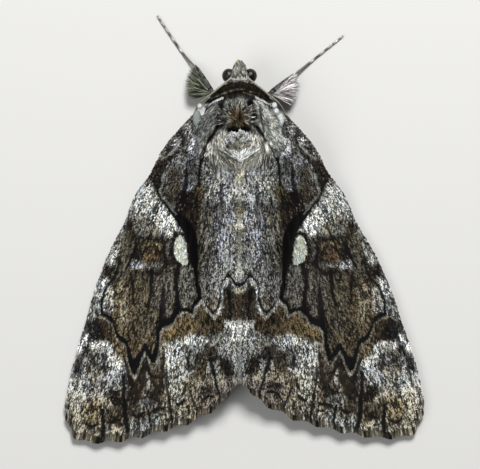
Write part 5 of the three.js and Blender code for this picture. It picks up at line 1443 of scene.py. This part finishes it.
def brow():
    """The cone of scales in front of the head, its face, and the short pale tufts between the feelers."""
    rng = np.random.RandomState(103)
    count, peak = HAIRS["head"], HAIRS["head_peak"]
    y = rng.uniform(16.6, 17.64, count)
    roots = round_trunk(rng.uniform(-0.08, 1.08, count) * np.pi, y, 0.1)
    tips = roots + unit(BROW_POINT - roots) * rng.uniform(0.35, 0.85, count)[:, None]
    tips += out_of_head(roots) * rng.uniform(0.0, 0.16, count)[:, None] + rng.normal(0, 0.05, (count, 3))
    turn = rng.uniform(-0.1, 1.1, peak) * np.pi
    base = np.stack([0.75 * np.cos(turn), np.full(peak, 17.6), 4.15 + 1.05 * np.sin(turn)], -1)
    peak_roots = mix(base, BROW_POINT, rng.uniform(0.0, 0.75, (peak, 1)))
    peak_tips = mix(peak_roots, BROW_POINT, rng.uniform(0.45, 1.0, (peak, 1)))
    peak_tips += rng.normal(0, 0.04, (peak, 3))
    roots, tips = np.vstack([roots, peak_roots]), np.vstack([tips, peak_tips])
    dark = smooth(0.62, 0.72, noise(roots[:, 0] * 3 + 9, roots[:, 1] * 2.6, 45))
    dark = np.maximum(dark, rng.uniform(0, 1, count + peak) ** 3)
    tint = blend(plain(PALE * 1.15, count + peak), OLIVE, dark)
    tint = blend(tint, CREAM * 1.15, 0.7 * smooth(18.1, 18.6, tips[:, 1]))
    strands("head_cone", rng, roots, tips, tint, (0.042, 0.078), (0.02, 0.12), 0.3, up=out_of_head(roots),
            root_shade=0.45)
    count = HAIRS["face"]
    face = ((-0.62, 0.62), (17.1, 17.5), (2.6, 4.7))
    roots = np.stack(drawn(rng, count, *face), -1)
    shift = np.stack([rng.normal(0, 0.06, count), *drawn(rng, count, (0.3, 0.62), (-0.3, 0.1))], -1)
    tips = roots + shift
    tips[:, 1] += 0.22 * smooth(3.2, 4.6, tips[:, 2])
    tint = blend(plain(GREY, count), OLIVE, rng.uniform(0, 1, count))
    strands("head_face", rng, roots, tips, tint, 0.1, 0.05, 0.3, up=UP + [0, 0.3, 0], root_shade=0.6)
    domes = [(np.array([x, 16.45 - 0.12 * x**2, 5.5 - 0.3 * x**2]), 0.23, 0.38) for x in HEAD_TUFTS]
    roots, tips = mops(rng, domes, HAIRS["head_tuft"])
    strands("head_tufts", rng, roots, tips, plain(PALE * 1.25, len(roots)), 0.08, 0.03, 0.25, root_shade=0.8)


def collar_rim():
    """Dark scales that stand forward along the collar's front edge, against the feelers."""
    rng = np.random.RandomState(107)
    count = HAIRS["collar_rim"]
    turn = rng.uniform(0.06, 0.94, count) * np.pi
    roots = round_trunk(turn, rng.uniform(15.25, 15.95, count), 0.12)
    roots[:, 1] -= SHOULDER_SWEEP * roots[:, 0] ** 2
    out = np.stack([np.cos(turn), np.zeros(count), np.sin(turn)], -1)
    tips = roots + out * rng.uniform(0.08, 0.2, count)[:, None]
    tips[:, 1] += rng.uniform(0.12, 0.34, count)
    tint = blend(plain(OLIVE, count), UMBER, rng.uniform(0, 1, count))
    strands("collar_rim", rng, roots, tips, tint, 0.1, 0.03, 0.3, up=out)


for dress in (whorl, collar_rim, crest, crest_sides, mantle, shoulder_pads, shoulder_rim, brow):
    dress()
for side_name, side in SIDES.items():
    tegula(side_name, side)


# ---------------------------------------------------------------- eyes, feelers, palps and tongue

FEELER_RADII = (0.115, 0.075)
FEELER_JOINTS = 75
FEELER_TUCK = 0.14  # how far a feeler, slimmer than its solid, lies nearer the collar
FEELER_EASE = 12  # steps either side over which a feeler's rise and fall is evened out


def eye(side_name, side):
    """A globe with the small lenses of a compound eye standing out a little."""
    shape = (24, 40)
    centre = np.array([side * EYE["across"], EYE["along"], EYE["height"]])

    def place(u, v):
        polar, turn = u * np.pi, v * 2 * np.pi * side
        swell = EYE["radius"] * (1 + 0.012 * np.cos(20 * turn) * np.sin(18 * polar))
        out, flat = side * np.cos(polar) * swell * 0.92, np.sin(polar) * swell
        return centre + np.stack([out, np.cos(turn) * flat, np.sin(turn) * flat], -1)

    points, u, v = rings_of(place, np.linspace(0.03, 0.97, shape[0]), np.arange(shape[1]) / shape[1])
    tint = blend(plain(EYE_BROWN, len(u)), BLACK, noise(u * 8, v * 12, 5))
    add_piece(f"eye_{side_name}_globe", points, ring_faces(*shape)[:, ::-1], cornea, tint,
              stands_for=[f"eye_{side_name}"])


def antenna(side_name, side):
    """A ringed feeler, from its socket over the collar and on under the wing."""
    shape = (300, 8)
    under = np.array(ANTENNA_UNDER_WING)
    drop = WING_THICKNESS / 2 + 0.3 + ANTENNA_RADIUS[0] + 0.1
    lowered = over_wing(under[:, 0], under[:, 1], -drop)
    lowered[:, 2] = np.maximum(lowered[:, 2], ANTENNA_RADIUS[1] + 0.05)
    shares = np.linspace(0, 1, shape[0])
    line = along(spline(np.vstack([ANTENNA_ROUTE, lowered]) * [side, 1, 1]), shares)
    line[:, 1] -= FEELER_TUCK * smooth(0.0, 0.08, shares) * smooth(0.42, 0.3, shares)
    window = 2 * FEELER_EASE + 1
    line[:, 2] = np.convolve(np.pad(line[:, 2], FEELER_EASE, mode="edge"), np.ones(window) / window, "valid")
    ring = 0.9 + 0.1 * np.abs(np.sin(np.pi * shares * FEELER_JOINTS))
    radius = mix(*FEELER_RADII, shares) * ring + 0.08 * smooth(0.03, 0.0, shares)
    points, u, _ = rings_of(Tube(line, radius).surface, shares, np.arange(shape[1]) / shape[1])
    band = smooth(0.35, 0.6, np.abs(np.sin(np.pi * u * FEELER_JOINTS)))
    tint = blend(plain(OLIVE, len(u)), BEIGE * 1.1, band * 0.95)
    add_piece(f"antenna_{side_name}_shaft", points, ring_faces(*shape), leg_skin, tint,
              stands_for=[f"antenna_{side_name}"])


def palp(side_name, side):
    """A scaly palp before the face."""
    rng = np.random.RandomState(111 + side)
    line = spline(np.array(PALP_ROUTE) * [side, 1, 1], 8)
    shares = np.linspace(0, 1, len(line))
    radius = np.interp(shares, np.linspace(0, 1, len(PALP_RADII)), PALP_RADII)
    surface = Tube(line, np.maximum(0.05, radius - 0.1)).surface
    points, u, v = rings_of(surface, shares, np.arange(16) / 16)
    add_piece(f"palp_{side_name}_skin", points, ring_faces(len(line), 16), body_skin,
              plain(PALE, len(u)), stands_for=[f"palp_{side_name}"])
    u, v = cells(surface, (0.02, 0.97), (0, 1), 0.07, 0.06, rng)
    here, lie, normal, _ = frames(surface, u, v, -1)
    count = len(u)
    tint = blend(plain(PALE * 1.25, count), OLIVE, rng.uniform(0, 1, count) ** 4)
    tint = own_shade(blend(tint, CREAM * 1.15, 0.8 * smooth(0.5, 0.85, u)), rng, 0.25)
    length = rng.uniform(0.288, 0.432, count)
    add_tufts(f"palp_{side_name}_fur", here - lie * 0.05, lie, normal, (length, 0.08, 0.1), tint,
              np.stack([v, u], -1), body_hair, "hair", 0.85)


def tongue():
    """The coiled tongue under the head, as a ringed tube."""
    shape = (90, 12)
    shares = np.linspace(0, 1, shape[0])
    turn = np.pi / 2 - shares * COIL["turns"] * 2 * np.pi
    reach = mix(COIL["outer"], COIL["inner"], shares)[:, None] * ray(turn)
    line = np.c_[np.zeros(shape[0]), reach + [COIL["along"], COIL["height"]]]
    radius = mix(*COIL["radius"], shares) * (0.93 + 0.07 * np.cos(shares * 90))
    side = np.array([1.0, 0, 0])
    up = np.cross(unit(np.gradient(line, axis=0)), side)
    turns = np.arange(shape[1]) / shape[1] * 2 * np.pi
    across, rise = ray(turns).T[:, None, :, None] * radius[:, None, None]
    points = (line[:, None] + side * across + up[:, None] * rise).reshape(-1, 3)
    add_piece("tongue", points, ring_faces(*shape)[:, ::-1], horn, plain(AMBER, len(points)),
              stands_for=["proboscis"])


tongue()
for side_name, side in SIDES.items():
    eye(side_name, side)
    antenna(side_name, side)
    palp(side_name, side)


# ---------------------------------------------------------------- legs

LIMB_SHAPE = ([0, 0.12, 0.4, 0.85, 1], [0.6, 0.95, 1, 0.75, 0.6])  # thickness along a thigh or shin
ROUND = {"leg": 14, "spike": 8}  # points round a leg and a spur or claw
BRUSH_PALE = {"left": FERN, "right": PEARL}


def limb_tube(start, end, radius):
    """A thigh or shin, thickest near its upper end."""
    shares = np.linspace(0, 1, 24)
    return Tube(mix(start, end, shares[:, None]), np.interp(shares, *LIMB_SHAPE) * radius)


def foot_tube(places):
    """A foot of five joints that stays over the floor."""
    shares = np.linspace(0, 1, 80)
    line = along(spline(places), shares)
    line[:, 2] = np.maximum(line[:, 2], SOLE)
    joint = nearest_of(np.cumsum(TARSUS_SHARES), shares)
    swell = 0.44 + 0.12 * smooth(0.03, 0.0, joint)
    return Tube(line, np.maximum(0.03, mix(*TARSUS_RADIUS, shares) * swell * smooth(1.03, 0.97, shares)))


def spikes(spec, knee, heel, foot):
    """A leg's spurs and claws: root, tip, radius and colour of each."""
    ahead = unit(heel - knee)
    aside = unit(np.cross(ahead, UP[0]))
    toe_ahead = unit(foot[-1] - foot[-2])
    toe_aside = np.cross(toe_ahead, UP[0])
    for place in SPUR["places"][:spec["spurs"]]:
        for hand in SIDES.values():
            root = mix(knee, heel, place)
            tip = root + ahead * SPUR["length"] + aside * hand * SPUR["spread"]
            yield root, tip, SPUR["width"] / 2, PALE
    for hand in SIDES.values():
        root = foot[-1] + toe_aside * hand * 0.04
        tip = foot[-1] + toe_ahead * CLAW["length"] + toe_aside * hand * CLAW["spread"]
        yield root, tip, CLAW["width"] / 2, UMBER


def spike_tube(root, tip, radius, shares):
    """A spur or claw, bowed a little, that stays over the floor."""
    line = mix(root, tip, shares[:, None])
    line[:, 2] = np.maximum(line[:, 2] + 0.1 * np.sin(np.pi * shares), radius)
    return Tube(line, radius * (1.02 - shares**1.5))


def leg(leg_name, side_name, side):
    """A leg's skin with its spurs and claws, its hair and, on a foreleg, its brush."""
    rng = np.random.RandomState(121 + side + len(leg_name) * 7)
    name = f"{leg_name}_{side_name}"
    spec = LEGS[leg_name]
    hip, knee, heel, *foot = [np.array(joint) * [side, 1, 1] for joint in spec[side_name]]
    tubes = {"thigh": limb_tube(hip, knee, spec["thickness"][0] - 0.1),
             "shin": limb_tube(mix(knee, hip, 0.08), heel, spec["thickness"][1] - 0.1),
             "foot": foot_tube([mix(heel, knee, 0.05), *foot])}
    skins, coats = [], []

    def add_skin(surface, rows, columns):
        points, u, _ = rings_of(surface, np.linspace(0, 1, rows), np.arange(columns) / columns)
        start = sum(len(skin[0]) for skin in skins)
        skins.append([points, ring_faces(rows, columns, start), u])

    for part, tube in tubes.items():
        add_skin(tube.surface, 60 if part == "foot" else 24, ROUND["leg"])
        skin = skins[-1]
        skin[0][:, 2] = np.maximum(skin[0][:, 2], 0.0)
        skin[2] = leg_colours(part, skin[2]) * 0.75
        u, v = cells(tube.surface, (0.02, 0.98), (0, 1), 0.16, 0.12, rng)
        here, lie, normal, _ = frames(tube.surface, u, v, -1)
        length = (0.24 if part == "foot" else 0.5) * rng.uniform(0.8, 1.2, (len(u), 1))
        coats.append((here - lie * 0.05, lie, normal, length, leg_colours(part, u), np.stack([v, u], -1)))
    for root, tip, radius, tint in spikes(spec, knee, heel, foot):
        spike = spike_tube(root, tip, radius, np.linspace(0, 1, ROUND["spike"]))
        add_skin(spike.surface, ROUND["spike"], ROUND["spike"])
        skins[-1][2] = plain(tint, len(skins[-1][0]))
    points, faces, tints = (np.vstack(part) for part in zip(*skins))
    add_piece(f"{name}_skin", points, faces, leg_skin, tints, stands_for=[name])
    parts = [np.vstack(part) for part in zip(*coats)]
    here, lie, normal, length, tint, unwrap = (part[parts[0][:, 2] > 0.12] for part in parts)
    normal[:, 2] = np.maximum(normal[:, 2], -here[:, 2])
    length = length[:, 0]
    add_tufts(f"{name}_fur", here, lie, unit(normal), (length, length * 0.32, length * 0.18),
              own_shade(tint, rng, 0.3), unwrap, body_hair, "hair")
    if leg_name == "foreleg":
        brush(side_name, side, knee, heel, rng)


def leg_colours(part, u):
    """Grey, with dark bands on the shin and pale rings at the foot's joints."""
    colours = plain(GREY, len(u))
    if part == "foot":
        nearest = nearest_of(np.cumsum([0, *TARSUS_SHARES]), u)
        colours = blend(plain(CREAM * 0.85, len(u)), WHITE, smooth(0.06, 0.02, nearest))
        colours = blend(colours, OLIVE, 0.6 * smooth(0.05, 0.09, np.abs(nearest - 0.01)) * (u > 0.3))
    if part == "shin":
        colours = blend(colours, UMBER, 0.8 * smooth(0.12, 0.08, np.abs((u * 2.5) % 1 - 0.5)))
    return colours


def brush(side_name, side, knee, heel, rng):
    """The fan of long scales on a foreleg's shin, spreading from its upper end."""
    count = BRUSH["hairs"]
    share = rng.uniform(0, 1, count)
    ahead = unit((heel - knee) * [1, 1, 0])
    out = np.array([side * ahead[1], -side * ahead[0], 0])
    start = mix(*BRUSH["start"], share) * rng.uniform(0.1, 1.25, count)
    roots = mix(knee, heel, start[:, None])
    roots[:, 2] += rng.uniform(-0.2, 0.2, count)
    turn = np.radians(mix(*BRUSH["turn"][side_name], share) + rng.normal(0, 5, count))
    reach = mix(*BRUSH["reach"], share) + BRUSH["swell"] * np.sin(np.pi * share)
    reach = reach * rng.uniform(0.5, 1.03, count)
    tips = roots + (out * np.sin(turn)[:, None] + ahead * np.cos(turn)[:, None]) * reach[:, None]
    lowest = np.maximum(BRUSH["lowest"], roots[:, 2] - BRUSH["droop"])
    tips[:, 2] = lowest + rng.uniform(-0.12, 0.3, count)
    unwrap = np.stack([share, part_of((start.min(), start.max()), start)], -1)
    strands(f"foreleg_{side_name}_brush", rng, roots, tips, plain(BRUSH_PALE[side_name], count),
            (0.0455, 0.0845), (0.0, 0.15), 0.5, unwrap=unwrap)


for side_name, side in SIDES.items():
    for leg_name in LEGS:
        leg(leg_name, side_name, side)


# ---------------------------------------------------------------- floor, light and camera

# Each lamp's place, size and power, in metres and watts.
LAMPS = {"key": ((0.05, 0.22, 0.3), 0.12, 2.5), "fill": ((-0.2, -0.08, 0.3), 0.25, 0.6)}


def put(name, data):
    """An object of the scene made from data."""
    holder = bpy.data.objects.new(name, data)
    bpy.context.scene.collection.objects.link(holder)
    return holder


def ground(far=0.6):
    mesh = bpy.data.meshes.new("floor")
    mesh.from_pydata([(-far, -far, 0), (far, -far, 0), (far, far, 0), (-far, far, 0)], [], [(0, 1, 2, 3)])
    floor = put("floor", mesh)
    mesh.materials.append(Look("floor").finish({"Base Color": (0.42, 0.415, 0.4, 1), "Roughness": 0.9}))


def light():
    for lamp_name, (place, size, power) in LAMPS.items():
        lamp = bpy.data.lights.new(lamp_name, "AREA")
        lamp.size = size
        lamp.energy = power
        holder = put(lamp_name, lamp)
        holder.location = place
        holder.rotation_euler = (-Vector(place)).to_track_quat("-Z", "Y").to_euler()
    world = bpy.data.worlds.new("studio")
    world.use_nodes = True
    background = world.node_tree.nodes["Background"]
    background.inputs["Color"].default_value = (0.9, 0.95, 1.0, 1)
    background.inputs["Strength"].default_value = 0.22
    bpy.context.scene.world = world


def camera():
    eyepiece = bpy.data.cameras.new("camera")
    eyepiece.lens = CAMERA_LENS
    eyepiece.sensor_width = 36.0
    eyepiece.clip_start = 0.01
    eyepiece.clip_end = 5.0
    holder = put("camera", eyepiece)
    holder.location = (*(VIEW_CENTRE - MIDDLE[:2]) * MM, CAMERA_HEIGHT * MM)
    bpy.context.scene.camera = holder


ground()
light()
camera()
bpy.context.scene.view_settings.view_transform = "Standard"
